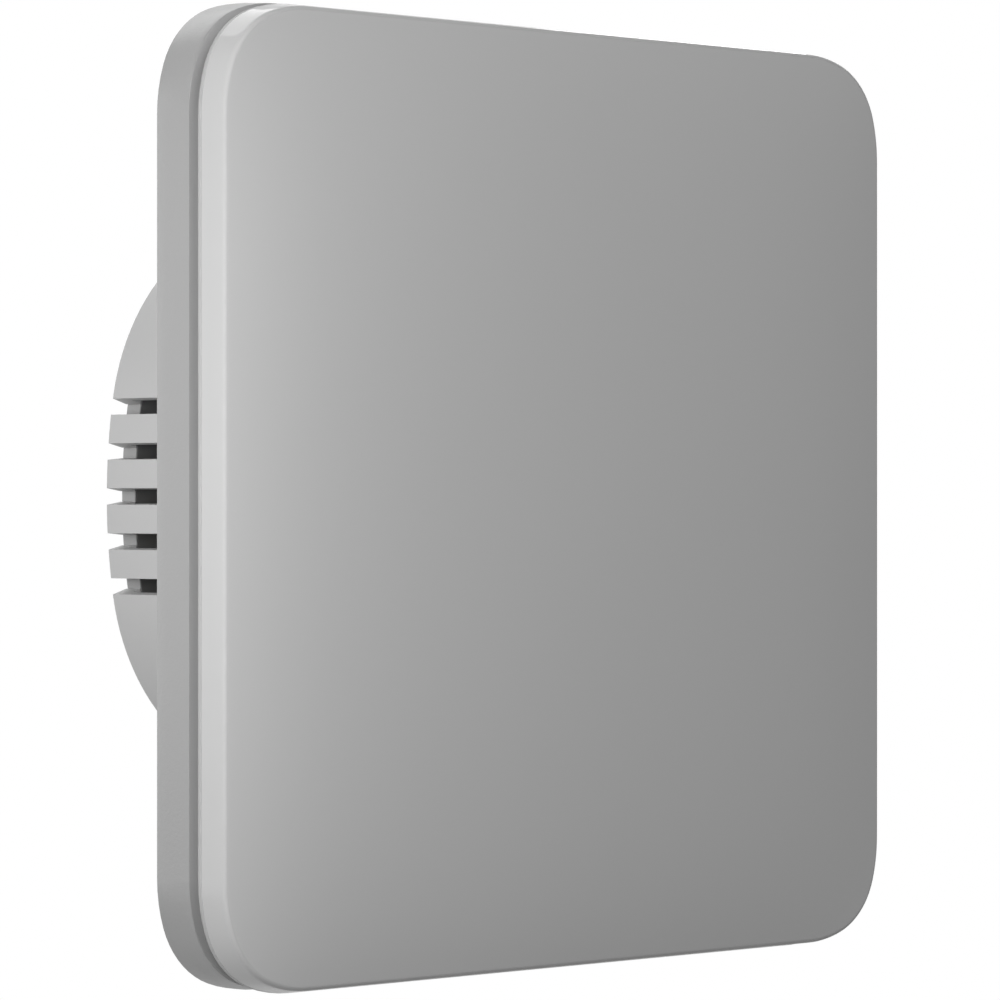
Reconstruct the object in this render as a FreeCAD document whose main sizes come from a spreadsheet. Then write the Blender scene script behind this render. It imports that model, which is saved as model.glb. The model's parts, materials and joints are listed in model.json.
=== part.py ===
import FreeCAD, Part
import math
import os
import Sketcher
from FreeCAD import Placement, Rotation, Vector

# Flush-mounted touch light switch for a 60 mm wall box, in millimetres.
# The origin is the centre of the mounting plate's rear face, which lies on the wall.
# +Z is up, +Y points into the wall, and +X is to the right for someone facing the switch.

doc = FreeCAD.newDocument("LightSwitch")

# Driving sizes: name, value in millimetres (angles in degrees), what it sets
drivingSizes = [
    ("panelWidth", 86.0, "front outline of the touch panel"),
    ("panelEndRadius", 13.4, "outer arcs of a panel corner"),
    ("panelMidRadius", 7.7, "middle arc of a panel corner"),
    ("cornerSweep", 18.9, "turn of each outer arc of a corner, in degrees"),
    ("panelSideDepth", 2.6, "depth of the panel's side wall"),
    ("panelFlare", 0.38, "how far the side wall leans out towards the rear"),
    ("panelEdgeRound", 0.45, "rounding between side wall and front"),
    ("crownHeight", 1.2, "how far the middle of the front stands out"),
    ("crownPower", 6.0, "how late the crown falls off towards the edges"),
    ("coverFace", 1.3, "thickness of the panel's front"),
    ("coverWall", 1.5, "thickness of the panel's side wall at the front"),
    ("rimThickness", 0.4, "thickness of the strip behind the side wall"),
    ("rimProud", 0.03, "how far the strip stands out from the side wall"),
    ("baseStep", 0.7, "thickness of the base plate inside the cover"),
    ("baseGap", 0.15, "clearance of the base plate inside the cover"),
    ("panelDrop", 0.2, "how far the panel hangs below the frame's centre"),
    ("rimGap", 0.1, "gap between panel and frame"),
    ("frameProud", 0.57, "how far the frame stands outside the panel's front outline"),
    ("frameEndRadius", 13.5, "outer arcs of a frame corner"),
    ("frameMidRadius", 8.3, "middle arc of a frame corner"),
    ("frameDepth", 5.08, "depth of the frame in front of the wall"),
    ("frameBand", 1.3, "straight band along the frame's rear edge"),
    ("frameTaper", 4.5, "lean of the frame's side in front of the band, in degrees"),
    ("frameNose", 1.1, "rounding of the frame's front edge"),
    ("frameWall", 2.0, "thickness of the frame's outer wall"),
    ("frameFace", 1.6, "thickness of the frame's front web"),
    ("frameLegWidth", 9.0, "width of the legs that centre the frame on the plate"),
    ("frameLegThickness", 1.2, "thickness of those legs"),
    ("frameLegPlace", 12.0, "distance of those legs from the middle of a side"),
    ("plateFit", 0.25, "clearance between the frame's legs and the plate"),
    ("panelLegInset", 2.67, "middle of the panel's legs inside the frame's wall"),
    ("panelLegSpacing", 44.0, "distance between upper and lower legs"),
    ("panelLegWidth", 5.6, "width of a panel leg"),
    ("panelLegThickness", 1.8, "thickness of a panel leg"),
    ("legWallGap", 0.98, "end of a panel leg in front of the wall"),
    ("legHoleGap", 0.3, "clearance of a leg in the frame's face"),
    ("clipSheet", 0.3, "thickness of the spring clips"),
    ("clipGap", 0.06, "clearance between clip and leg"),
    ("clipFloorGap", 0.3, "gap between the end of a leg and its clip"),
    ("plateMargin", 2.3, "mounting plate beyond the ends of its screw slots"),
    ("plateCorner", 5.0, "corner radius of the plate"),
    ("plateThickness", 1.2, "sheet of the plate"),
    ("plateOpeningCorner", 3.0, "corner radius of the opening in the plate"),
    ("boxScrewSpacing", 60.0, "spacing of the wall box's screws"),
    ("boxSlotWidth", 3.6, "width of the slots for those screws"),
    ("boxSlotLength", 6.4, "length of those slots"),
    ("drumWidth", 54.4, "drum across its sides"),
    ("drumSideRadius", 56.0, "arc of a drum side"),
    ("drumCornerRadius", 20.9, "arc of a drum corner"),
    ("drumDepth", 26.0, "drum behind the wall plane"),
    ("drumWall", 1.7, "wall of the drum"),
    ("ventHeight", 1.54, "height of a vent slot at the drum's outside"),
    ("ventTaper", 0.28, "how much each side of a slot leans in through the wall"),
    ("ventWall", 0.7, "wall of the drum's sides between the slots"),
    ("ventMargin", 1.2, "that thinner wall beyond the outer slots"),
    ("ventPitch", 4.2, "pitch of the vent slots"),
    ("ventStart", 6.0, "where the slots begin behind the plate"),
    ("rearCoverThickness", 2.0, "thickness of the rear cap"),
    ("rearCoverGap", 0.12, "clearance of the rear cap inside the drum"),
    ("coreScrewInset", 2.594, "the four long screws inside the drum's corners, each way"),
    ("coreScrewRadius", 1.0, "shank of a long screw"),
    ("coreScrewGap", 0.15, "clearance around a shank"),
    ("coreScrewLength", 19.5, "length of a shank"),
    ("coreHeadRadius", 1.9, "head of a long screw"),
    ("coreHeadHeight", 1.2, "height of that head"),
    ("coreDriveLength", 2.4, "cross recess in that head"),
    ("coreDriveWidth", 0.5, "cross recess in that head"),
    ("coreDriveDepth", 0.6, "cross recess in that head"),
    ("threadGap", 0.04, "clearance of a screw in the part that it threads into"),
    ("bossRadius", 2.4, "bosses in the drum"),
    ("postRadius", 1.8, "posts on the rear cap"),
    ("coreFrontInset", 2.2, "front of the core inside the drum's outline"),
    ("coreFrontCorner", 8.0, "its corner radius"),
    ("coreFrontDepth", 2.0, "its depth in front of the plate"),
    ("coreFrontWall", 1.0, "its front wall"),
    ("coreFrontRim", 1.0, "overlap of its cavity inside the plate's opening"),
    ("fitGap", 0.2, "clearance around pieces that pass through a wall"),
    ("seatGap", 0.1, "gap where a piece is held between two others"),
    ("partGap", 0.4, "gap between neighbours on a board"),
    ("powerBoardPlace", 8.0, "front of the power board behind the plate"),
    ("powerBoardThickness", 1.6, "power board"),
    ("boardGap", 0.25, "clearance of the power board in the drum"),
    ("controlBoardPlace", 1.2, "front of the control board behind the plate"),
    ("controlBoardThickness", 1.0, "control board"),
    ("controlBoardInset", 5.2, "ends of the control board inside the drum's outline"),
    ("controlBoardHeight", 27.0, "control board, upright"),
    ("boardLap", 1.0, "ends of the control board beyond the opening in the plate"),
    ("boardSpare", 0.5, "opening in the plate beyond the control board, above and below"),
    ("terminalPitch", 9.0, "spacing of the wire terminals"),
    ("terminalWall", 1.0, "walls of the terminal block"),
    ("wireInset", 12.5, "wire holes inside the drum's wall"),
    ("wireHoleRadius", 1.6, "wire holes"),
    ("wireFunnel", 0.5, "chamfer at the mouth of a wire hole"),
    ("wireGap", 3.2, "opening of a clamp when its screw is slack"),
    ("barWidth", 3.4, "current bar"),
    ("barThickness", 1.0, "current bar"),
    ("cageWidth", 5.6, "clamp cage, across"),
    ("cageLength", 5.0, "clamp cage, along the wire"),
    ("cageSheet", 0.9, "sheet of the cage"),
    ("cageGap", 0.3, "clearance around the cage"),
    ("clampTravel", 2.0, "travel of the cage"),
    ("clampSpare", 0.2, "gap left between bar and cage when closed"),
    ("terminalShoulder", 0.8, "wall between screw head and cage"),
    ("terminalScrewRadius", 1.5, "terminal screw"),
    ("terminalHeadRadius", 1.9, "its head"),
    ("terminalHeadHeight", 1.6, "height of its head"),
    ("headGap", 0.05, "gap between head and shoulder, and between tip and bar"),
    ("driverSlotWidth", 0.7, "slot for the screwdriver"),
    ("driverSlotDepth", 0.8, "depth of that slot"),
    ("driverHoleRadius", 2.2, "holes in the drum for the screwdriver"),
    ("buttonRadius", 1.55, "function button"),
    ("buttonHoleGap", 0.06, "clearance of the button in its hole"),
    ("buttonFlange", 0.6, "how far the button's flange stands out"),
    ("buttonFlangeThickness", 0.6, "thickness of the flange"),
    ("buttonProud", 0.3, "how far the button stands out of the core's front"),
    ("buttonGap", 0.3, "gap between the button and its switch"),
    ("buttonAcross", 12.0, "button to the right of the middle"),
    ("buttonBelow", 6.0, "button below the middle"),
    ("buttonSwitchWidth", 4.5, "switch under the button"),
    ("buttonSwitchHeight", 1.6, "its height"),
    ("plugAbove", 5.0, "plug above the middle"),
    ("plugWidth", 13.6, "plug and socket, across"),
    ("plugHeight", 3.2, "plug, upright"),
    ("plugDepth", 1.7, "plug behind the touch board"),
    ("socketHeight", 4.4, "socket, upright"),
    ("socketProud", 0.2, "how far the socket stands out of the core's front"),
    ("pinPitch", 2.54, "spacing of the plug's pins"),
    ("pinRadius", 0.32, "pins"),
    ("pinLength", 3.2, "pins behind the plug"),
    ("pinGap", 0.06, "clearance of a pin in its contact"),
    ("contactSheet", 0.2, "sheet of the contact sleeves"),
    ("contactLength", 3.0, "length of the sleeves"),
    ("touchBoardMargin", 10.0, "touch board inside the panel's front outline"),
    ("touchBoardThickness", 1.0, "touch board"),
    ("touchBoardCorner", 5.0, "corner radius of the touch board"),
    ("baseWindowWidth", 26.0, "window in the base plate for the plug"),
    ("baseWindowHeight", 14.0, "the same, upright"),
    ("baseWindowCorner", 1.5, "corner radius of that window"),
    ("baseWindowBelow", 2.0, "middle of that window below the plug"),
    ("electrodeMargin", 6.0, "electrode pad inside the touch board, sideways"),
    ("electrodeHeight", 40.0, "electrode pad, upright"),
    ("electrodeThickness", 0.4, "electrode pad with its foam backing"),
    ("electrodeGap", 4.0, "gap between electrode pad and status light"),
    ("indicatorInset", 9.0, "status light above the lower end of the touch board"),
    ("ledHeight", 0.35, "height of the light-emitting chips"),
    ("ledLength", 2.0, "light-emitting chip, across"),
    ("ledWidth", 1.0, "light-emitting chip, upright"),
    ("ledSpacing", 4.0, "spacing of those chips"),
    ("guideLength", 14.0, "diffuser, across"),
    ("guideWidth", 2.0, "diffuser, upright"),
    ("guideThickness", 0.3, "diffuser in front of the chips"),
    ("relayAcross", -8.0, "middle of the relay, to the right"),
    ("relayPostGap", 2.2, "relay below the upper posts of the rear cap"),
    ("relayLength", 20.0, "relay, across"),
    ("relayWidth", 10.0, "relay, upright"),
    ("relayRearGap", 0.4, "relay in front of the rear cap"),
    ("relayBase", 1.2, "base of the relay"),
    ("relayWall", 0.6, "wall of its case"),
    ("relayIron", 1.0, "yoke and armature"),
    ("relayIronWidth", 6.0, "yoke and armature, upright"),
    ("relayCoreRadius", 1.3, "iron core of the coil"),
    ("relayCoilRadius", 3.5, "winding"),
    ("relayBobbinRadius", 4.0, "ends of the bobbin"),
    ("relayBobbinWall", 0.6, "walls of the bobbin"),
    ("relayAirGap", 0.45, "gap that the armature closes"),
    ("relayHingeGap", 0.1, "gap between yoke and armature"),
    ("relayBladeLength", 7.6, "contact blade beyond the armature"),
    ("relayBladeSheet", 0.3, "contact blade"),
    ("relayContactRadius", 1.0, "contact buttons"),
    ("relayContactHeight", 0.4, "contact buttons"),
    ("relayContactGap", 0.95, "gap between the open contacts"),
    ("bulkRadius", 4.0, "bulk capacitors"),
    ("bulkRearGap", 1.9, "bulk capacitors in front of the rear cap"),
    ("filmLength", 13.0, "film capacitor"),
    ("filmWidth", 6.0, "film capacitor"),
    ("filmHeight", 11.0, "film capacitor"),
    ("inductorRadius", 3.5, "power inductor"),
    ("inductorHeight", 9.0, "power inductor"),
    ("inductorWinding", 6.6, "length of its winding"),
    ("inductorGroove", 0.6, "how far its winding lies below its ends"),
    ("varistorRadius", 4.0, "varistor disc"),
    ("varistorThickness", 3.0, "varistor disc"),
    ("fuseRadius", 1.6, "fuse resistor"),
    ("fuseLength", 8.0, "fuse resistor"),
    ("leadRadius", 0.35, "wire leads"),
    ("rectifierLength", 6.0, "rectifier"),
    ("rectifierWidth", 4.5, "rectifier"),
    ("rectifierHeight", 2.4, "rectifier"),
    ("supplyChipLength", 5.0, "supply chip"),
    ("supplyChipWidth", 4.0, "supply chip"),
    ("supplyChipHeight", 1.5, "supply chip"),
    ("radioLength", 16.0, "radio module, upright"),
    ("radioThickness", 0.8, "radio module's board"),
    ("radioGap", 0.2, "radio module beside the socket"),
    ("radioEdge", 2.0, "radio module inside the end of the control board"),
    ("shieldLength", 11.0, "its screening can, upright"),
    ("shieldHeight", 1.5, "its screening can"),
    ("shieldGap", 1.2, "its screening can beside the socket"),
    ("shieldEdge", 1.0, "its screening can inside the wall of the core's front"),
    ("antennaLength", 14.0, "antenna strip"),
    ("antennaHeight", 2.8, "antenna strip"),
    ("antennaSheet", 0.4, "antenna strip"),
    ("antennaAbove", 11.0, "antenna above the middle"),
    ("antennaEnd", 3.0, "antenna inside the end of the control board"),
    ("controllerWidth", 7.0, "microcontroller"),
    ("controllerHeight", 0.9, "microcontroller"),
    ("touchChipWidth", 5.0, "touch controller"),
    ("touchChipHeight", 0.8, "touch controller"),
    ("headerLength", 15.0, "header between the boards"),
    ("headerWidth", 2.5, "header between the boards"),
    ("headerEdge", 2.5, "that header inside the lower edge of the control board"),
]
ventCount = 5
terminalCount = 3
pinCount = 5
ledCount = 3
crownGrid = 21

sheet = doc.addObject("Spreadsheet::Sheet", "Sizes")
for row, (name, number, note) in enumerate(drivingSizes, start=1):
    sheet.set(f"A{row}", name)
    sheet.set(f"B{row}", str(number))
    sheet.setAlias(f"B{row}", name)
    sheet.set(f"C{row}", note)
doc.recompute()


class Size:
    # A length as a number and as the sheet expression that gives it, so that sums stay bound to the sheet.
    def __init__(self, number, text):
        self.number = number
        self.text = text

    def __add__(self, other):
        other = asSize(other)
        return Size(self.number + other.number, f"({self.text} + {other.text})")

    def __sub__(self, other):
        other = asSize(other)
        return Size(self.number - other.number, f"({self.text} - {other.text})")

    def __mul__(self, other):
        other = asSize(other)
        return Size(self.number * other.number, f"({self.text} * {other.text})")

    def __truediv__(self, other):
        other = asSize(other)
        return Size(self.number / other.number, f"({self.text} / {other.text})")

    def __neg__(self):
        return Size(-self.number, f"(0 - {self.text})")


def root(size):
    return Size(math.sqrt(size.number), f"sqrt({size.text})")


def asSize(value):
    return value if isinstance(value, Size) else Size(float(value), str(value))


class SizeTable:
    def __init__(self):
        for name, number, note in drivingSizes:
            setattr(self, name, Size(float(sheet.get(name)), f"Sizes.{name}"))


s = SizeTable()
zero = asSize(0)
subParts = []


def bind(item, name, size):
    item.setExpression(name, asSize(size).text)


def place(item, x, y, z):
    for axis, size in zip("xyz", (x, y, z)):
        bind(item, f"Placement.Base.{axis}", size)


def keep(item):
    # Marks a finished sub-part, which is written out under its label.
    subParts.append(item)
    return item


# Part workbench helpers

def box(name, sizeX, sizeY, sizeZ, midX, lowY, midZ):
    solid = doc.addObject("Part::Box", name)
    bind(solid, "Length", sizeX)
    bind(solid, "Width", sizeY)
    bind(solid, "Height", sizeZ)
    place(solid, asSize(midX) - asSize(sizeX) / 2, lowY, asSize(midZ) - asSize(sizeZ) / 2)
    return solid


turns = {
    "x": Rotation(Vector(0, 1, 0), 90),
    "y": Rotation(Vector(1, 0, 0), -90),
    "z": Rotation(),
}


def cylinder(name, radius, length, x, y, z, axis="y"):
    solid = doc.addObject("Part::Cylinder", name)
    solid.Placement = Placement(Vector(), turns[axis])
    bind(solid, "Radius", radius)
    bind(solid, "Height", length)
    place(solid, x, y, z)
    return solid


def cut(name, base, *tools):
    result = doc.addObject("Part::Cut", name)
    result.Base = base
    result.Tool = tools[0] if len(tools) == 1 else fuse(name + "Tools", *tools)
    return result


def fuse(name, *solids):
    result = doc.addObject("Part::MultiFuse", name)
    result.Shapes = list(solids)
    return result


def group(name, *solids):
    result = doc.addObject("Part::Compound", name)
    result.Links = list(solids)
    return result


# Sketch helpers. On the XZ plane a sketch's x is X, its y is Z, and its normal points out of the wall.

def onPlane(body, name, role, forward=None):
    sketch = body.newObject("Sketcher::SketchObject", name)
    plane = next(item for item in body.Origin.OriginFeatures if item.Role == role)
    sketch.AttachmentSupport = [(plane, "")]
    sketch.MapMode = "FlatFace"
    if forward is not None:
        bind(sketch, "AttachmentOffset.Base.z", forward)
    return sketch


def addDimension(sketch, size, kind, *where):
    # Adds a driving dimension and binds it to the sheet.
    size = asSize(size)
    index = sketch.addConstraint(Sketcher.Constraint(kind, *where, size.number))
    name = f"{kind}{index}"
    sketch.renameConstraint(index, name)
    bind(sketch, f"Constraints.{name}", size)


def pin(sketch, geometry, point, x, y):
    # Fixes one point of the sketch at x, y from the origin; None leaves that direction free.
    for kind, size, axis in (("DistanceX", x, -2), ("DistanceY", y, -1)):
        if size is None:
            continue
        if abs(asSize(size).number) < 1e-9:
            sketch.addConstraint(Sketcher.Constraint("PointOnObject", geometry, point, axis))
        else:
            addDimension(sketch, size, kind, -1, 1, geometry, point)


def addChain(sketch, edges):
    # Adds edges that follow each other round a closed outline, tangent where they meet.
    first = sketch.GeometryCount
    count = len(edges)
    for edge in edges:
        sketch.addGeometry(edge)
    for step in range(count):
        following = first + (step + 1) % count
        sketch.addConstraint(Sketcher.Constraint("Tangent", first + step, 2, following, 1))
    return first


def arc(centre, radius, begin, end):
    return Part.ArcOfCircle(Part.Circle(centre, Vector(0, 0, 1), radius), begin, end)


def squareEdges(half, endRadius, midRadius):
    # A square whose corners are three tangent arcs, the middle one the tightest.
    sweep = math.radians(s.cornerSweep.number)
    reach = endRadius - (endRadius - midRadius) * (math.cos(sweep) - math.sin(sweep))
    arm = half - reach
    lean = Vector(math.cos(sweep), math.sin(sweep), 0) * (endRadius - midRadius)
    lower = Vector(half - endRadius, arm, 0)
    upper = Vector(arm, half - endRadius, 0)
    quarter = math.pi / 2
    edges = []
    for turn in range(4):
        spin = Rotation(Vector(0, 0, 1), 90 * turn)
        start = quarter * turn
        low = spin.multVec(Vector(half, -arm, 0))
        edges.append(Part.LineSegment(low, spin.multVec(Vector(half, arm, 0))))
        edges.append(arc(spin.multVec(lower), endRadius, start, start + sweep))
        edges.append(arc(spin.multVec(lower + lean), midRadius, start + sweep, start + quarter - sweep))
        edges.append(arc(spin.multVec(upper), endRadius, start + quarter - sweep, start + quarter))
    return edges


def squareOutline(sketch, half, endRadius, midRadius):
    edges = squareEdges(half.number, endRadius.number, midRadius.number)
    first = addChain(sketch, edges)
    ends = [first + 4 * turn + step for turn in range(4) for step in (1, 3)]
    mids = [first + 4 * turn + 2 for turn in range(4)]
    for geometry in ends[1:]:
        sketch.addConstraint(Sketcher.Constraint("Equal", ends[0], geometry))
    for geometry in mids[1:]:
        sketch.addConstraint(Sketcher.Constraint("Equal", mids[0], geometry))
    addDimension(sketch, endRadius, "Radius", ends[0])
    addDimension(sketch, midRadius, "Radius", mids[0])
    sweep = math.radians(s.cornerSweep.number)
    for geometry in ends:
        index = sketch.addConstraint(Sketcher.Constraint("Angle", geometry, sweep))
        sketch.renameConstraint(index, f"Sweep{index}")
        sketch.setExpression(f"Constraints.Sweep{index}", f"{s.cornerSweep.text} * 1 deg")
    for turn, kind in enumerate(("Vertical", "Horizontal", "Vertical", "Horizontal")):
        sketch.addConstraint(Sketcher.Constraint(kind, first + 4 * turn))
    pin(sketch, first, 1, half, None)
    pin(sketch, first + 4, 1, None, half)
    pin(sketch, first + 8, 1, -half, None)
    pin(sketch, first + 12, 1, None, -half)


def drumOutline(sketch, inset=zero):
    # The drum's outline, four gentle side arcs and four corner arcs, drawn in by the inset.
    half = s.drumWidth / 2 - inset
    side = s.drumSideRadius - inset
    corner = s.drumCornerRadius - inset
    back = side - half
    lean = math.asin(back.number / (side - corner).number / math.sqrt(2))
    sweep = math.pi / 4 - lean
    middle = (side - corner).number * math.sin(sweep)
    edges = []
    for turn in range(4):
        spin = Rotation(Vector(0, 0, 1), 90 * turn)
        start = turn * math.pi / 2
        centre = spin.multVec(Vector(-back.number, 0, 0))
        edges.append(arc(centre, side.number, start - sweep, start + sweep))
        centre = spin.multVec(Vector(middle, middle, 0))
        edges.append(arc(centre, corner.number, start + sweep, start + math.pi / 2 - sweep))
    first = addChain(sketch, edges)
    for turn in range(1, 4):
        sketch.addConstraint(Sketcher.Constraint("Equal", first, first + 2 * turn))
        sketch.addConstraint(Sketcher.Constraint("Equal", first + 1, first + 1 + 2 * turn))
    addDimension(sketch, side, "Radius", first)
    addDimension(sketch, corner, "Radius", first + 1)
    for turn, (x, y) in enumerate(((-back, zero), (zero, -back), (back, zero), (zero, back))):
        pin(sketch, first + 2 * turn, 3, x, y)


def rectangle(sketch, width, height, midX=zero, midY=zero):
    left = midX - width / 2
    right = midX + width / 2
    low = midY - height / 2
    high = midY + height / 2
    points = [Vector(x.number, y.number, 0)
              for x, y in ((left, low), (right, low), (right, high), (left, high))]
    first = sketch.GeometryCount
    for step in range(4):
        sketch.addGeometry(Part.LineSegment(points[step], points[(step + 1) % 4]))
    for step in range(4):
        sketch.addConstraint(Sketcher.Constraint("Coincident", first + step, 2, first + (step + 1) % 4, 1))
        sketch.addConstraint(Sketcher.Constraint(("Horizontal", "Vertical")[step % 2], first + step))
    pin(sketch, first, 1, left, low)
    pin(sketch, first + 2, 1, right, high)


def roundedRectangle(sketch, width, height, radius, midX=zero, midY=zero):
    x = (width / 2).number
    y = (height / 2).number
    r = radius.number
    middle = Vector(midX.number, midY.number, 0)
    quarter = math.pi / 2
    edges = []
    for turn, (cornerX, cornerY) in enumerate(((x, y), (-x, y), (-x, -y), (x, -y))):
        centre = middle + Vector(cornerX - math.copysign(r, cornerX), cornerY - math.copysign(r, cornerY), 0)
        edges.append(arc(centre, r, turn * quarter, (turn + 1) * quarter))
    sides = []
    for turn in range(4):
        begin = edges[turn].EndPoint
        sides.append(Part.LineSegment(begin, edges[(turn + 1) % 4].StartPoint))
    chain = [edge for pair in zip(edges, sides) for edge in pair]
    first = addChain(sketch, chain)
    for turn, kind in enumerate(("Horizontal", "Vertical", "Horizontal", "Vertical")):
        sketch.addConstraint(Sketcher.Constraint(kind, first + 2 * turn + 1))
    for turn in range(1, 4):
        sketch.addConstraint(Sketcher.Constraint("Equal", first, first + 2 * turn))
    addDimension(sketch, radius, "Radius", first)
    pin(sketch, first + 1, 1, None, midY + height / 2)
    pin(sketch, first + 3, 1, midX - width / 2, None)
    pin(sketch, first + 5, 1, None, midY - height / 2)
    pin(sketch, first + 7, 1, midX + width / 2, None)


def circle(sketch, radius, midX=zero, midY=zero):
    centre = Vector(midX.number, midY.number, 0)
    geometry = sketch.addGeometry(Part.Circle(centre, Vector(0, 0, 1), asSize(radius).number))
    addDimension(sketch, radius, "Radius", geometry)
    pin(sketch, geometry, 3, midX, midY)


def slot(sketch, width, length, midX, midY, upright):
    # A round-ended slot that runs along x, or along y when it is upright.
    radius = width / 2
    reach = length / 2 - radius
    turn = 90 if upright else 0
    spin = Rotation(Vector(0, 0, 1), turn)
    start = math.radians(turn)
    middle = Vector(midX.number, midY.number, 0)
    ends = [middle + spin.multVec(Vector(side * reach.number, 0, 0)) for side in (1, -1)]
    arcs = [arc(end, radius.number, start + base, start + base + math.pi)
            for end, base in zip(ends, (-math.pi / 2, math.pi / 2))]
    chain = [arcs[0], Part.LineSegment(arcs[0].EndPoint, arcs[1].StartPoint),
             arcs[1], Part.LineSegment(arcs[1].EndPoint, arcs[0].StartPoint)]
    first = addChain(sketch, chain)
    sketch.addConstraint(Sketcher.Constraint("Equal", first, first + 2))
    sketch.addConstraint(Sketcher.Constraint("Vertical" if upright else "Horizontal", first + 1))
    addDimension(sketch, radius, "Radius", first)
    if upright:
        pin(sketch, first, 3, midX, midY + reach)
        pin(sketch, first + 2, 3, None, midY - reach)
    else:
        pin(sketch, first, 3, midX + reach, midY)
        pin(sketch, first + 2, 3, midX - reach, None)


# Body helpers

def newBody(name):
    return keep(doc.addObject("PartDesign::Body", name))


def pad(body, sketch, length, rearward=False, taper=None):
    feature = body.newObject("PartDesign::Pad", sketch.Name + "Pad")
    feature.Profile = sketch
    feature.Reversed = rearward
    bind(feature, "Length", length)
    if taper is not None:
        feature.setExpression("TaperAngle", f"(0 - {taper.text}) * 1 deg")
    sketch.Visibility = False
    doc.recompute()
    return feature


def pocket(body, sketch, length=None, forward=False):
    # Cuts along the sketch's rear side, or its front side, and makes sure that something was cut.
    before = body.Shape.Volume
    feature = body.newObject("PartDesign::Pocket", sketch.Name + "Pocket")
    feature.Profile = sketch
    feature.Reversed = forward
    if length is None:
        feature.Type = "ThroughAll"
    else:
        bind(feature, "Length", length)
    doc.recompute()
    if body.Shape.Volume > before - 1e-6:
        raise RuntimeError(f"{feature.Name} cuts nothing")
    return feature


def edgesAt(shape, test):
    return [f"Edge{number}" for number, edge in enumerate(shape.Edges, start=1) if test(edge)]


def roundEdges(body, test, radius, kind="PartDesign::Fillet"):
    base = body.Tip
    edges = edgesAt(base.Shape, test)
    if not edges:
        raise RuntimeError(f"{body.Name} has no such edge")
    feature = body.newObject(kind, body.Name + kind.split("::")[1])
    feature.Base = (base, edges)
    bind(feature, "Radius" if kind.endswith("Fillet") else "Size", radius)
    doc.recompute()
    return feature


def liesAtForward(edge, forward):
    return abs(edge.BoundBox.YMin + forward) < 1e-4 and abs(edge.BoundBox.YMax + forward) < 1e-4


def isHole(edge, radius):
    return isinstance(edge.Curve, Part.Circle) and abs(edge.Curve.Radius - radius) < 1e-6


def drumCorner():
    # How far the drum's corner reaches along x, where its corner arc crosses the diagonal.
    spread = s.drumSideRadius - s.drumCornerRadius
    back = s.drumSideRadius - s.drumWidth / 2
    middle = (root(spread * spread * 2 - back * back) - back) / 2
    return middle + s.drumCornerRadius / root(asSize(2))


# Widths that follow from what each piece fits
frameWidth = s.panelWidth + s.frameProud * 2
plateWidth = s.boxScrewSpacing + s.boxSlotLength + s.plateMargin * 2
windowWidth = plateWidth + s.plateFit * 2
touchBoardWidth = s.panelWidth - s.touchBoardMargin * 2
coreScrewSpacing = (drumCorner() - s.coreScrewInset) * 2
coreFrontWidth = s.drumWidth - s.coreFrontInset * 2
controlBoardWidth = s.drumWidth - s.controlBoardInset * 2
plateOpeningWidth = controlBoardWidth - s.boardLap * 2
plateOpeningHeight = s.controlBoardHeight + s.boardSpare * 2
cavityWidth = plateOpeningWidth - s.coreFrontRim * 2
radioWidth = controlBoardWidth / 2 - s.radioEdge - s.plugWidth / 2 - s.radioGap
shieldWidth = cavityWidth / 2 - s.shieldEdge - s.plugWidth / 2 - s.shieldGap
indicatorBelow = touchBoardWidth / 2 - s.indicatorInset
panelLegPlace = frameWidth / 2 - s.frameWall - s.panelLegInset

# Places along the depth, measured out of the wall
rimBack = s.frameDepth + s.rimGap
rimFront = rimBack + s.rimThickness
panelFront = rimFront + s.panelSideDepth
baseFront = rimFront + s.baseStep
touchFront = baseFront + s.touchBoardThickness
coreFace = s.plateThickness + s.coreFrontDepth
coreInner = coreFace - s.coreFrontWall

# Places along the depth, measured into the wall
controlBack = s.controlBoardPlace + s.controlBoardThickness
powerBack = s.powerBoardPlace + s.powerBoardThickness
capInner = s.drumDepth - s.rearCoverThickness

screwEnd = s.coreScrewLength - (coreFace - s.seatGap - s.coreHeadHeight)

# The panel hangs a little low, so what meets the core stands this much higher in the panel.
plugPlace = s.plugAbove + s.panelDrop

corners = [(-1, -1), (1, -1), (1, 1), (-1, 1)]


# Touch panel

def crownBlock(name, sink):
    # A block whose rear face is far behind and whose front face is the crown, sunk by the given depth.
    half = s.panelWidth.number / 2
    span = half + s.panelFlare.number + 1
    power = s.crownPower.number
    height = s.crownHeight.number
    level = panelFront.number - sink.number
    rows = []
    for column in range(crownGrid):
        x = span * (2 * column / (crownGrid - 1) - 1)
        points = []
        for line in range(crownGrid):
            z = span * (2 * line / (crownGrid - 1) - 1)
            rise = height * (1 - abs(x / half) ** power) * (1 - abs(z / half) ** power)
            points.append(Vector(x, -(level + rise), z))
        rows.append(points)
    surface = Part.BSplineSurface()
    surface.interpolate(rows)
    return surface.toShape().extrude(Vector(0, panelFront.number, 0))


def outlineWire(half, endRadius, midRadius, forward):
    edges = [edge.toShape() for edge in squareEdges(half, endRadius, midRadius)]
    wire = Part.Wire(edges)
    wire.Placement = Placement(Vector(0, -forward, 0), Rotation(Vector(1, 0, 0), 90))
    return wire


def grownWire(grow, forward):
    # The panel's outline, grown or drawn in all round.
    half = s.panelWidth.number / 2 + grow
    return outlineWire(half, s.panelEndRadius.number + grow, s.panelMidRadius.number + grow, forward)


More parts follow.
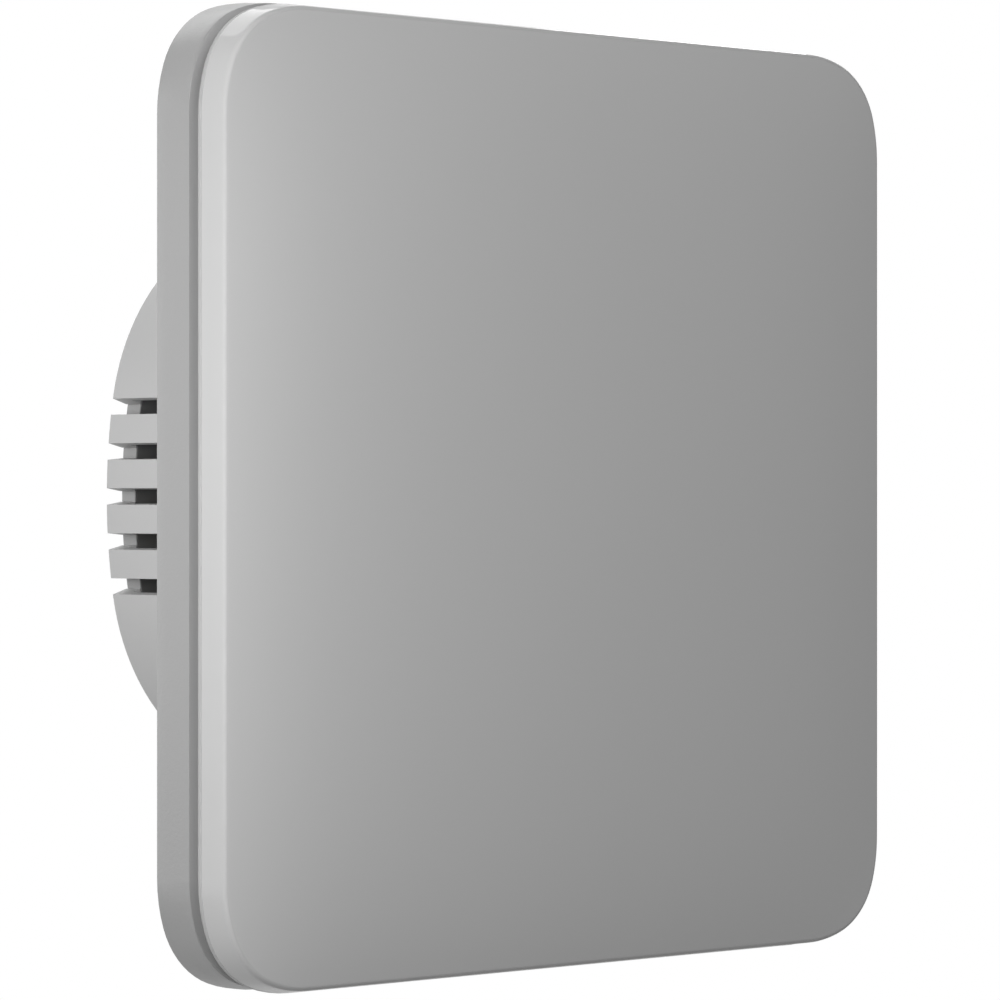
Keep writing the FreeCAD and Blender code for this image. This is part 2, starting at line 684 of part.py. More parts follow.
def frontCover():
    lean = s.panelFlare.number / s.panelSideDepth.number
    top = panelFront.number + s.crownHeight.number
    outer = Part.makeLoft([grownWire(s.panelFlare.number, rimFront.number),
                           grownWire(-lean * s.crownHeight.number, top)], True, True)
    shell = outer.common(crownBlock("crown", zero))
    rimLevel = panelFront.number - s.panelEdgeRound.number
    rim = [edge for edge in shell.Edges
           if edge.BoundBox.YMax < -rimLevel and edge.Length > s.panelEdgeRound.number]
    shell = shell.makeFillet(s.panelEdgeRound.number, rim)
    inner = [grownWire(-s.coverWall.number, level) for level in (rimFront.number - 1, top)]
    cavity = Part.makeLoft(inner, True, True).common(crownBlock("cavity", s.coverFace))
    cover = keep(doc.addObject("Part::Feature", "front_cover"))
    cover.Shape = shell.cut(cavity)
    bind(cover, "Placement.Base.z", -s.panelDrop)


def panelBase():
    body = newBody("panel_base")
    bind(body, "Placement.Base.z", -s.panelDrop)
    rimGrow = s.panelFlare + s.rimProud
    rim = onPlane(body, "baseRim", "XZ_Plane", rimBack)
    squareOutline(rim, s.panelWidth / 2 + rimGrow, s.panelEndRadius + rimGrow, s.panelMidRadius + rimGrow)
    pad(body, rim, s.rimThickness)
    inset = s.coverWall + s.baseGap
    step = onPlane(body, "baseStep", "XZ_Plane", rimFront)
    squareOutline(step, s.panelWidth / 2 - inset, s.panelEndRadius - inset, s.panelMidRadius - inset)
    pad(body, step, s.baseStep)
    window = onPlane(body, "baseWindow", "XZ_Plane", baseFront)
    roundedRectangle(window, s.baseWindowWidth, s.baseWindowHeight, s.baseWindowCorner,
                     zero, plugPlace - s.baseWindowBelow)
    pocket(body, window)
    legs = onPlane(body, "baseLegs", "XZ_Plane", rimBack)
    for side, level in corners:
        rectangle(legs, s.panelLegThickness, s.panelLegWidth, panelLegPlace * side,
                  s.panelLegSpacing / 2 * level + s.panelDrop)
    pad(body, legs, rimBack - s.legWallGap, rearward=True)


def panelElectronics():
    drop = -s.panelDrop
    board = newBody("touch_board")
    bind(board, "Placement.Base.z", drop)
    sketch = onPlane(board, "touchBoardOutline", "XZ_Plane", baseFront)
    roundedRectangle(sketch, touchBoardWidth, touchBoardWidth, s.touchBoardCorner)
    pad(board, sketch, s.touchBoardThickness)

    electrodeUp = s.electrodeHeight / 2 - indicatorBelow + s.electrodeGap
    keep(box("touch_electrode", touchBoardWidth - s.electrodeMargin * 2, s.electrodeThickness,
             s.electrodeHeight, zero, -(touchFront + s.electrodeThickness), electrodeUp + drop))
    chips = [box(f"led{number}", s.ledLength, s.ledHeight, s.ledWidth,
                 s.ledSpacing * (number - (ledCount - 1) / 2), -(touchFront + s.ledHeight),
                 drop - indicatorBelow)
             for number in range(ledCount)]
    keep(group("indicator_leds", *chips))
    keep(box("light_guide", s.guideLength, s.guideThickness, s.guideWidth, zero,
             -(touchFront + s.ledHeight + s.guideThickness), drop - indicatorBelow))
    keep(box("touch_chip", s.touchChipWidth, s.touchChipHeight, s.touchChipWidth, zero, -baseFront,
             s.plugAbove - s.plugHeight / 2 - s.touchChipWidth / 2 - s.partGap))
    keep(box("panel_plug", s.plugWidth, s.plugDepth, s.plugHeight, zero, -baseFront, s.plugAbove))
    pins = [cylinder(f"plugPin{number}", s.pinRadius, s.pinLength, pinPlace(number),
                     s.plugDepth - baseFront, s.plugAbove)
            for number in range(pinCount)]
    keep(group("panel_plug_pins", *pins))


def pinPlace(number):
    return s.pinPitch * (number - (pinCount - 1) / 2)


# Frame

def coverFrame():
    body = newBody("cover_frame")
    band = onPlane(body, "frameBand", "XZ_Plane")
    squareOutline(band, frameWidth / 2, s.frameEndRadius, s.frameMidRadius)
    pad(body, band, s.frameBand)
    side = onPlane(body, "frameSide", "XZ_Plane", s.frameBand)
    squareOutline(side, frameWidth / 2, s.frameEndRadius, s.frameMidRadius)
    pad(body, side, s.frameDepth - s.frameBand, taper=s.frameTaper)
    roundEdges(body, lambda edge: liesAtForward(edge, s.frameDepth.number), s.frameNose)
    window = onPlane(body, "frameWindow", "XZ_Plane", s.frameDepth)
    roundedRectangle(window, windowWidth, windowWidth, s.plateCorner + s.plateFit)
    pocket(body, window)
    cavity = onPlane(body, "frameCavity", "XZ_Plane")
    inset = s.frameWall
    squareOutline(cavity, frameWidth / 2 - inset, s.frameEndRadius - inset, s.frameMidRadius - inset)
    pocket(body, cavity, s.frameDepth - s.frameFace, forward=True)
    legs = onPlane(body, "frameLegs", "XZ_Plane")
    middle = windowWidth / 2 + s.frameLegThickness / 2
    for side, along in corners:
        rectangle(legs, s.frameLegThickness, s.frameLegWidth, middle * side, s.frameLegPlace * along)
        rectangle(legs, s.frameLegWidth, s.frameLegThickness, s.frameLegPlace * along, middle * side)
    pad(body, legs, s.frameDepth - s.frameFace)
    holes = onPlane(body, "frameLegHoles", "XZ_Plane", s.frameDepth)
    for side, level in corners:
        rectangle(holes, s.panelLegThickness + s.legHoleGap * 2, s.panelLegWidth + s.legHoleGap * 2,
                  panelLegPlace * side, s.panelLegSpacing / 2 * level)
    pocket(body, holes, s.frameFace)


def panelClips():
    inner = s.panelLegThickness + s.clipGap * 2
    outer = inner + s.clipSheet * 2
    front = s.frameDepth - s.frameFace
    floor = s.legWallGap - s.clipFloorGap
    clips = []
    for number, (side, level) in enumerate(corners):
        x = panelLegPlace * side
        z = s.panelLegSpacing / 2 * level
        blank = box(f"clipBlank{number}", outer, front - floor + s.clipSheet, s.panelLegWidth, x, -front, z)
        mouth = box(f"clipMouth{number}", inner, front - floor, s.panelLegWidth * 2, x, -front, z)
        clips.append(cut(f"clip{number}", blank, mouth))
    keep(group("panel_clips", *clips))


# Core: plate, front, drum and rear cap

def cornerCircles(sketch, radius):
    half = coreScrewSpacing / 2
    for across, up in corners:
        circle(sketch, radius, half * across, half * up)


def mountingPlate():
    body = newBody("mounting_plate")
    outline = onPlane(body, "plateOutline", "XZ_Plane")
    roundedRectangle(outline, plateWidth, plateWidth, s.plateCorner)
    roundedRectangle(outline, plateOpeningWidth, plateOpeningHeight, s.plateOpeningCorner)
    half = s.boxScrewSpacing / 2
    for side in (-1, 1):
        slot(outline, s.boxSlotWidth, s.boxSlotLength, half * side, zero, False)
        slot(outline, s.boxSlotWidth, s.boxSlotLength, zero, half * side, True)
    cornerCircles(outline, s.coreScrewRadius + s.coreScrewGap)
    pad(body, outline, s.plateThickness)


def coreFront():
    body = newBody("core_front")
    outline = onPlane(body, "coreFrontOutline", "XZ_Plane", s.plateThickness)
    roundedRectangle(outline, coreFrontWidth, coreFrontWidth, s.coreFrontCorner)
    pad(body, outline, s.coreFrontDepth)
    cavity = onPlane(body, "coreFrontCavity", "XZ_Plane", s.plateThickness)
    roundedRectangle(cavity, cavityWidth, plateOpeningHeight - s.coreFrontRim * 2,
                     s.plateOpeningCorner - s.coreFrontRim)
    pocket(body, cavity, s.coreFrontDepth - s.coreFrontWall, forward=True)
    openings = onPlane(body, "coreFrontOpenings", "XZ_Plane", coreFace)
    rectangle(openings, s.plugWidth + s.fitGap * 2, s.socketHeight + s.fitGap * 2, zero, s.plugAbove)
    circle(openings, s.buttonRadius + s.buttonHoleGap, s.buttonAcross, -s.buttonBelow)
    cornerCircles(openings, s.coreScrewRadius + s.coreScrewGap)
    pocket(body, openings)
    heads = onPlane(body, "coreFrontHeads", "XZ_Plane", coreFace)
    cornerCircles(heads, s.coreHeadRadius + s.coreScrewGap)
    pocket(body, heads, s.coreHeadHeight + s.seatGap)


def ventRelief(sketch, side):
    # The stretch of the drum's wall that is thinner, seen along the drum; side is 1 or -1.
    radius = s.drumSideRadius - s.ventWall
    centre = (s.drumWidth / 2 - s.drumSideRadius) * side
    inner = (s.drumWidth / 2 - s.drumWall * 2) * side
    reach = (s.ventPitch * (ventCount - 1) / 2 + s.ventHeight / 2 + s.ventMargin) * side
    sweep = math.asin(abs(reach.number) / radius.number)
    start = (1 - side) * math.pi / 2
    outer = arc(Vector(centre.number, 0, 0), radius.number, start - sweep, start + sweep)
    high = Vector(inner.number, reach.number, 0)
    low = Vector(inner.number, -reach.number, 0)
    first = sketch.GeometryCount
    for edge in (outer, Part.LineSegment(outer.EndPoint, high), Part.LineSegment(high, low),
                 Part.LineSegment(low, outer.StartPoint)):
        sketch.addGeometry(edge)
    for step in range(4):
        sketch.addConstraint(Sketcher.Constraint("Coincident", first + step, 2, first + (step + 1) % 4, 1))
    for step in (1, 3):
        sketch.addConstraint(Sketcher.Constraint("Horizontal", first + step))
    addDimension(sketch, radius, "Radius", first)
    pin(sketch, first, 3, centre, zero)
    pin(sketch, first + 2, 1, inner, reach)
    pin(sketch, first + 2, 2, inner, -reach)


def ventSlot(sketch, number, side):
    # One slot seen along the drum: it stands square to the drum's arc and narrows inwards.
    level = s.ventPitch * (number - (ventCount - 1) / 2)
    radius = s.drumSideRadius
    surface = s.drumWidth / 2 - radius + root(radius * radius - level * level)
    taper = s.ventTaper / s.drumWall
    outer = s.drumWidth / 2 + s.drumWall
    inner = s.drumWidth / 2 - s.drumWall * 2
    points = []
    for x, edge in ((inner, -1), (outer, -1), (outer, 1), (inner, 1)):
        lean = level / radius + taper * edge
        points.append((x * side, level + s.ventHeight / 2 * edge - (surface - x) * lean))
    first = sketch.GeometryCount
    for step in range(4):
        (x, z), (nextX, nextZ) = points[step], points[(step + 1) % 4]
        sketch.addGeometry(Part.LineSegment(Vector(x.number, z.number, 0),
                                            Vector(nextX.number, nextZ.number, 0)))
    for step in range(4):
        sketch.addConstraint(Sketcher.Constraint("Coincident", first + step, 2, first + (step + 1) % 4, 1))
        pin(sketch, first + step, 1, *points[step])


def coreHousing():
    body = newBody("core_housing")
    tube = onPlane(body, "drumTube", "XZ_Plane")
    drumOutline(tube)
    drumOutline(tube, s.drumWall)
    pad(body, tube, s.drumDepth, rearward=True)
    bosses = onPlane(body, "drumBosses", "XZ_Plane")
    cornerCircles(bosses, s.bossRadius)
    pad(body, bosses, s.powerBoardPlace - s.seatGap, rearward=True)
    holes = onPlane(body, "drumBossHoles", "XZ_Plane")
    cornerCircles(holes, s.coreScrewRadius + s.coreScrewGap)
    pocket(body, holes, s.powerBoardPlace)
    relief = onPlane(body, "drumRelief", "XZ_Plane", -capInner)
    ventRelief(relief, 1)
    ventRelief(relief, -1)
    pocket(body, relief, capInner - s.ventStart, forward=True)
    vents = onPlane(body, "drumVents", "XZ_Plane", -s.drumDepth)
    for number in range(ventCount):
        ventSlot(vents, number, 1)
        ventSlot(vents, number, -1)
    pocket(body, vents, s.drumDepth - s.ventStart, forward=True)
    drivers = onPlane(body, "driverHoles", "XY_Plane")
    for number in range(terminalCount):
        circle(drivers, s.driverHoleRadius, terminalPlace(number), screwLine)
    pocket(body, drivers)


def rearCover():
    body = newBody("rear_cover")
    disc = onPlane(body, "capDisc", "XZ_Plane", -s.drumDepth)
    drumOutline(disc, s.drumWall + s.rearCoverGap)
    pad(body, disc, s.rearCoverThickness)
    posts = onPlane(body, "capPosts", "XZ_Plane", -capInner)
    cornerCircles(posts, s.postRadius)
    pad(body, posts, capInner - powerBack - s.seatGap)
    pilots = onPlane(body, "capPilots", "XZ_Plane", -powerBack)
    cornerCircles(pilots, s.coreScrewRadius + s.threadGap)
    pocket(body, pilots, screwEnd - powerBack + s.seatGap)
    wires = onPlane(body, "wireHoles", "XZ_Plane", -capInner)
    for number in range(terminalCount):
        circle(wires, s.wireHoleRadius, terminalPlace(number), wireLevel)
    pocket(body, wires, s.rearCoverThickness * 2)
    level = -s.drumDepth.number
    roundEdges(body, lambda edge: liesAtForward(edge, level) and isHole(edge, s.wireHoleRadius.number),
               s.wireFunnel, "PartDesign::Chamfer")


def coreScrews():
    under = coreFace - s.seatGap - s.coreHeadHeight
    half = coreScrewSpacing / 2
    screws = []
    for number, (across, up) in enumerate(corners):
        x = half * across
        z = half * up
        top = under + s.coreHeadHeight
        head = cylinder(f"coreHead{number}", s.coreHeadRadius, s.coreHeadHeight, x, -top, z)
        cross = [box(f"coreDrive{number}{way}", wide, s.coreDriveDepth * 2, high, x,
                     -(top + s.coreDriveDepth), z)
                 for way, (wide, high) in enumerate(((s.coreDriveLength, s.coreDriveWidth),
                                                     (s.coreDriveWidth, s.coreDriveLength)))]
        shank = cylinder(f"coreShank{number}", s.coreScrewRadius, s.coreScrewLength, x, -under, z)
        screws.append(fuse(f"coreScrew{number}", cut(f"coreDriven{number}", head, *cross), shank))
    keep(group("core_screws", *screws))


# Core: boards and what is on them

def powerBoard():
    body = newBody("power_board")
    outline = onPlane(body, "powerOutline", "XZ_Plane", -powerBack)
    drumOutline(outline, s.drumWall + s.boardGap)
    cornerCircles(outline, s.coreScrewRadius + s.coreScrewGap)
    pad(body, outline, s.powerBoardThickness)


def controlBoard():
    body = newBody("control_board")
    outline = onPlane(body, "controlOutline", "XZ_Plane", -controlBack)
    roundedRectangle(outline, controlBoardWidth, s.controlBoardHeight, s.plateOpeningCorner)
    pad(body, outline, s.controlBoardThickness)
    keep(box("board_header", s.headerLength, s.powerBoardPlace - controlBack, s.headerWidth, zero,
             controlBack, s.headerWidth / 2 + s.headerEdge - s.controlBoardHeight / 2))


def controlParts():
    radioTop = s.controlBoardPlace - s.radioThickness
    radioX = -(s.plugWidth / 2 + s.radioGap + radioWidth / 2)
    keep(box("radio_module", radioWidth, s.radioThickness, s.radioLength, radioX, radioTop, zero))
    shieldX = -(s.plugWidth / 2 + s.shieldGap + shieldWidth / 2)
    keep(box("radio_shield", shieldWidth, s.shieldHeight, s.shieldLength, shieldX,
             radioTop - s.shieldHeight, zero))
    antennaX = controlBoardWidth / 2 - s.antennaEnd - s.antennaLength / 2
    keep(box("antenna", s.antennaLength, s.antennaHeight, s.antennaSheet, antennaX,
             s.controlBoardPlace - s.antennaHeight, s.antennaAbove))
    keep(box("microcontroller", s.controllerWidth, s.controllerHeight, s.controllerWidth, zero, controlBack,
             s.headerWidth))


def coreSocket():
    front = coreFace + s.socketProud
    body = box("socketBody", s.plugWidth, front + s.controlBoardPlace, s.socketHeight, zero, -front,
               s.plugAbove)
    sleeve = s.pinRadius + s.pinGap + s.contactSheet
    depth = s.contactLength
    holes = []
    sleeves = []
    for number in range(pinCount):
        x = pinPlace(number)
        holes.append(cylinder(f"socketHole{number}", sleeve, depth, x, -front, s.plugAbove))
        outer = cylinder(f"sleeveOuter{number}", sleeve, depth, x, -front, s.plugAbove)
        bore = cylinder(f"sleeveBore{number}", s.pinRadius + s.pinGap, depth, x, -front, s.plugAbove)
        sleeves.append(cut(f"sleeve{number}", outer, bore))
    keep(cut("core_socket", body, *holes))
    keep(group("socket_contacts", *sleeves))


def functionButton():
    switchTop = s.buttonSwitchHeight - s.controlBoardPlace
    keep(box("tact_switch", s.buttonSwitchWidth, s.buttonSwitchHeight, s.buttonSwitchWidth, s.buttonAcross,
             -switchTop, -s.buttonBelow))
    top = coreFace + s.buttonProud
    rear = switchTop + s.buttonGap
    stem = cylinder("buttonStem", s.buttonRadius, top - rear, s.buttonAcross, -top, -s.buttonBelow)
    flange = cylinder("buttonRing", s.buttonRadius + s.buttonFlange, s.buttonFlangeThickness, s.buttonAcross,
                      -(coreInner - s.seatGap), -s.buttonBelow)
    keep(fuse("function_button", stem, flange))


def powerParts():
    # What stands behind the power board beside the relay and below it, and two parts on the board's front
    firstX = s.relayAcross + s.relayLength / 2 + s.bulkRadius + s.partGap
    bulkHeight = capInner - powerBack - s.bulkRearGap
    bulk = [cylinder(f"bulk{number}", s.bulkRadius, bulkHeight, x, powerBack, relayLevel)
            for number, x in enumerate((firstX, firstX + s.bulkRadius * 2 + s.partGap))]
    keep(group("bulk_capacitors", *bulk))
    middle = (relayLevel - s.relayWidth / 2 + blockTop) / 2
    keep(box("film_capacitor", s.filmLength, s.filmHeight, s.filmWidth, s.relayAcross, powerBack, middle))
    discX = s.relayAcross + s.filmLength / 2 + s.partGap + s.varistorRadius
    disc = cylinder("varistorDisc", s.varistorRadius, s.varistorThickness, discX,
                    powerBack + s.varistorRadius + s.fitGap, middle - s.varistorThickness / 2, "z")
    leads = [cylinder(f"varistorLead{side}", s.leadRadius, s.varistorRadius, discX + step, powerBack, middle)
             for side, step in enumerate((-s.varistorRadius / 2, s.varistorRadius / 2))]
    keep(fuse("varistor", disc, *leads))
    inductorX = discX + s.varistorRadius + s.inductorRadius + s.partGap
    level = (relayLevel - s.bulkRadius + blockTop) / 2
    spool = cylinder("inductorSpool", s.inductorRadius, s.inductorHeight, inductorX, powerBack, level)
    waist = cylinder("inductorWaist", s.inductorRadius, s.inductorWinding, inductorX,
                     powerBack + (s.inductorHeight - s.inductorWinding) / 2, level)
    middlePost = cylinder("inductorPost", s.inductorRadius - s.inductorGroove, s.inductorHeight, inductorX,
                          powerBack, level)
    keep(fuse("power_inductor", cut("inductorEnds", spool, waist), middlePost))
    fuseX = inductorX + s.inductorRadius + s.fuseRadius + s.partGap
    keep(cylinder("fuse_resistor", s.fuseRadius, s.fuseLength, fuseX, powerBack, middle))
    keep(box("rectifier", s.rectifierLength, s.rectifierHeight, s.rectifierWidth, s.relayAcross,
             s.powerBoardPlace - s.rectifierHeight, relayLevel))
    keep(box("supply_chip", s.supplyChipLength, s.supplyChipHeight, s.supplyChipWidth, -s.relayAcross,
             s.powerBoardPlace - s.supplyChipHeight, relayLevel))


# Relay

relayLevel = coreScrewSpacing / 2 - s.postRadius - s.relayPostGap - s.relayWidth / 2
relayBack = powerBack + s.relayBase
relayEnd = capInner - s.relayRearGap
relayLeft = s.relayAcross - s.relayLength / 2 + s.relayWall + s.relayIron / 2
relayFoot = relayBack + s.fitGap
relayHingeLevel = relayEnd - s.relayWall - s.relayIron * 2
relayCoreX = relayLeft + s.relayIron * 1.5 + s.relayBobbinRadius


def relay():
    keep(box("relay_base", s.relayLength, s.relayBase, s.relayWidth, s.relayAcross, powerBack, relayLevel))
    height = relayEnd - relayBack
    outer = box("relayOuter", s.relayLength, height, s.relayWidth, s.relayAcross, relayBack, relayLevel)
    inner = box("relayInner", s.relayLength - s.relayWall * 2, height - s.relayWall,
                s.relayWidth - s.relayWall * 2, s.relayAcross, relayBack, relayLevel)
    keep(cut("relay_case", outer, inner))

    footLength = relayCoreX - relayLeft + s.relayCoreRadius
    foot = box("yokeFoot", footLength, s.relayIron, s.relayIronWidth, relayLeft + footLength / 2, relayFoot,
               relayLevel)
    legHeight = relayHingeLevel - s.relayHingeGap - relayFoot
    leg = box("yokeLeg", s.relayIron, legHeight, s.relayIronWidth, relayLeft, relayFoot, relayLevel)
    coreHeight = relayHingeLevel - s.relayAirGap - relayFoot
    core = cylinder("yokeCore", s.relayCoreRadius, coreHeight, relayCoreX, relayFoot, relayLevel)
    keep(fuse("relay_yoke", foot, leg, core))

    low = relayFoot + s.relayIron
    length = coreHeight - s.relayIron - s.relayBobbinWall
    tubeRadius = s.relayCoreRadius + s.relayBobbinWall
    bobbin = cylinder("bobbinTube", tubeRadius, length, relayCoreX, low, relayLevel)
    ends = [cylinder(f"bobbinEnd{number}", s.relayBobbinRadius, s.relayBobbinWall, relayCoreX, y, relayLevel)
            for number, y in enumerate((low, low + length - s.relayBobbinWall))]
    bore = cylinder("bobbinBore", s.relayCoreRadius, length, relayCoreX, low, relayLevel)
    keep(cut("relay_bobbin", fuse("bobbinBlank", bobbin, *ends), bore))
    winding = cylinder("windingOuter", s.relayCoilRadius, length - s.relayBobbinWall * 2, relayCoreX,
                       low + s.relayBobbinWall, relayLevel)
    inside = cylinder("windingBore", tubeRadius, length, relayCoreX, low, relayLevel)
    keep(cut("relay_coil", winding, inside))

    armatureLength = relayCoreX - relayLeft + s.relayBobbinRadius
    armatureX = relayLeft + (armatureLength - s.relayIron) / 2
    keep(box("relay_armature", armatureLength, s.relayIron, s.relayIronWidth, armatureX, relayHingeLevel,
             relayLevel))
    bladeStart = armatureX + armatureLength / 2
    blade = box("bladeStrip", s.relayBladeLength, s.relayBladeSheet, s.relayIronWidth / 2,
                bladeStart + s.relayBladeLength / 2, relayHingeLevel, relayLevel)
    contactX = bladeStart + s.relayBladeLength - s.relayContactRadius * 1.5
    rivet = cylinder("bladeContact", s.relayContactRadius, s.relayContactHeight, contactX,
                     relayHingeLevel - s.relayContactHeight, relayLevel)
    keep(fuse("relay_blade", blade, rivet))
    fixedTop = relayHingeLevel - s.relayContactHeight - s.relayContactGap
    anvil = cylinder("fixedContact", s.relayContactRadius, s.relayContactHeight, contactX,
                     fixedTop - s.relayContactHeight, relayLevel)
    post = box("fixedPost", s.relayIron, fixedTop - s.relayContactHeight - relayBack, s.relayIronWidth / 2,
               contactX, relayBack, relayLevel)
    keep(fuse("relay_contacts", post, anvil))


# Wire terminals, from the wire down to the screw head

screwLine = capInner - s.seatGap - s.terminalWall - s.cageGap - s.cageLength / 2
wireLevel = -(s.drumWidth / 2 - s.drumWall - s.wireInset)
barTop = wireLevel - s.wireGap / 2
barLow = barTop - s.barThickness
cageTop = wireLevel + s.wireGap / 2 + s.cageSheet
cageHeight = s.cageSheet * 2 + s.wireGap + s.barThickness + s.clampTravel + s.clampSpare
cavityLow = cageTop - cageHeight - s.clampTravel - s.seatGap
headTop = cavityLow - s.terminalShoulder - s.headGap
blockLow = headTop - s.terminalHeadHeight - s.seatGap
blockTop = cageTop + s.cageGap + s.terminalWall


def terminalPlace(number):
    return s.terminalPitch * (number - (terminalCount - 1) / 2)


def terminalBlock():
    depth = capInner - s.seatGap - powerBack
    blank = box("terminalBlank", s.terminalPitch * terminalCount, depth, blockTop - blockLow, zero, powerBack,
                (blockTop + blockLow) / 2)
    cavityHeight = cageTop + s.cageGap - cavityLow
    cutters = []
    bars = []
    for number in range(terminalCount):
        x = terminalPlace(number)
        cutters.append(box(f"cageRoom{number}", s.cageWidth + s.cageGap * 2, depth - s.terminalWall,
                           cavityHeight, x, powerBack, cavityLow + cavityHeight / 2))
        cutters.append(cylinder(f"screwBore{number}", s.terminalScrewRadius + s.seatGap,
                                s.terminalShoulder + s.headGap, x, screwLine, headTop, "z"))
        cutters.append(cylinder(f"headBore{number}", s.terminalHeadRadius + s.seatGap,
                                headTop - blockLow + s.headGap, x, screwLine, blockLow, "z"))
        cutters.append(cylinder(f"wireBore{number}", s.wireHoleRadius, s.terminalWall * 2, x,
                                capInner - s.terminalWall * 1.5, wireLevel))
        barLength = depth - s.terminalWall - s.cageGap
        bars.append(box(f"bar{number}", s.barWidth, barLength, s.barThickness, x, powerBack,
                        barTop - s.barThickness / 2))
    keep(cut("terminal_block", blank, *cutters))
    keep(group("terminal_bars", *bars))


def terminalMovers(number):
    x = terminalPlace(number)
    name = str(number + 1)
    shank = cylinder("screwShank" + name, s.terminalScrewRadius, barLow - s.headGap - headTop, x, screwLine,
                     headTop, "z")
    head = cylinder("screwHead" + name, s.terminalHeadRadius, s.terminalHeadHeight, x, screwLine,
                    headTop - s.terminalHeadHeight, "z")
    drive = box("screwDrive" + name, s.terminalHeadRadius * 3, s.driverSlotWidth, s.driverSlotDepth * 2, x,
                screwLine - s.driverSlotWidth / 2, headTop - s.terminalHeadHeight)
    keep(fuse("terminal_screw_" + name, shank, cut("screwDriven" + name, head, drive)))

    low = screwLine - s.cageLength / 2
    outer = box("cageOuter" + name, s.cageWidth, s.cageLength, cageHeight, x, low, cageTop - cageHeight / 2)
    inner = box("cageInner" + name, s.cageWidth - s.cageSheet * 2, s.cageLength * 2,
                cageHeight - s.cageSheet * 2, x, low - s.cageLength / 2, cageTop - cageHeight / 2)
    thread = cylinder("cageThread" + name, s.terminalScrewRadius + s.threadGap, s.cageSheet * 3, x, screwLine,
                      cageTop - cageHeight - s.cageSheet, "z")
    keep(cut("clamp_cage_" + name, outer, inner, thread))


frontCover()
panelBase()
panelElectronics()
coverFrame()
panelClips()
mountingPlate()
coreFront()
coreHousing()
rearCover()
coreScrews()
powerBoard()
controlBoard()
controlParts()
coreSocket()
functionButton()
powerParts()
relay()
terminalBlock()
for terminalNumber in range(terminalCount):
    terminalMovers(terminalNumber)
doc.recompute()

# Nothing is written unless every object is sound.
for item in doc.Objects:
    if "Invalid" in item.State or "Error" in item.State:
        raise RuntimeError(f"{item.Label} failed: {item.State}")
for item in subParts:
    if item.Shape.isNull() or not item.Shape.isValid() or not item.Shape.Solids:
        raise RuntimeError(f"{item.Label} has no valid solid")

os.makedirs("parts", exist_ok=True)
for item in subParts:
    item.Shape.exportStep(f"parts/{item.Label}.step")
print(f"{len(subParts)} sub-parts written")
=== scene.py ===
import bmesh
import bpy
import json
import math
from mathutils import Matrix, Vector


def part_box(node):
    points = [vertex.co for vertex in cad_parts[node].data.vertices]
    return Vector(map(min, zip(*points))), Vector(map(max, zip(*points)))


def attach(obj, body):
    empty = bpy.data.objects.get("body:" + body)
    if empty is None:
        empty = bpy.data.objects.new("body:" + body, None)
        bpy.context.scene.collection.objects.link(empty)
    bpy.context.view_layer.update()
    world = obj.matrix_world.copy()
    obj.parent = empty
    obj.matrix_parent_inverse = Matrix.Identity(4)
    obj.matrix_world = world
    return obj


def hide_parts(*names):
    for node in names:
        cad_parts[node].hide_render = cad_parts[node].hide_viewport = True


# Looks of the flush touch light switch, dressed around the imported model. Metres; Z is up, +Y into the wall.
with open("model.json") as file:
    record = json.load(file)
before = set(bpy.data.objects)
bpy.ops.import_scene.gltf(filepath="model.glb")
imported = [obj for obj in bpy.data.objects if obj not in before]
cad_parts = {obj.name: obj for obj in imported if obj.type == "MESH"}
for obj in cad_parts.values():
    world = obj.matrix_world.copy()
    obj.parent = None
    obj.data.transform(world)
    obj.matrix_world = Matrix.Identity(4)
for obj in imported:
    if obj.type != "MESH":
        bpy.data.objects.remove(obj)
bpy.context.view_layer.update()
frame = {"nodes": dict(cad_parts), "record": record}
bodyOf = {node: body for body, nodes in frame["record"]["behaviour"]["bodies"].items() for node in nodes}
slotOf = {part["node"]: part["material_slot"] for part in frame["record"]["subparts"]}
print("frame loaded,", len(frame["nodes"]), "nodes")

mm = 0.001


# Shader sockets as values

class Value:
    # One output of a shader node. Sums on it add Math nodes.
    def __init__(self, shading, socket):
        self.shading = shading
        self.socket = socket

    def __add__(self, other):
        return self.shading.maths("ADD", self, other)

    def __sub__(self, other):
        return self.shading.maths("SUBTRACT", self, other)

    def __rsub__(self, other):
        return self.shading.maths("SUBTRACT", other, self)

    def __mul__(self, other):
        return self.shading.maths("MULTIPLY", self, other)

    __radd__ = __add__
    __rmul__ = __mul__


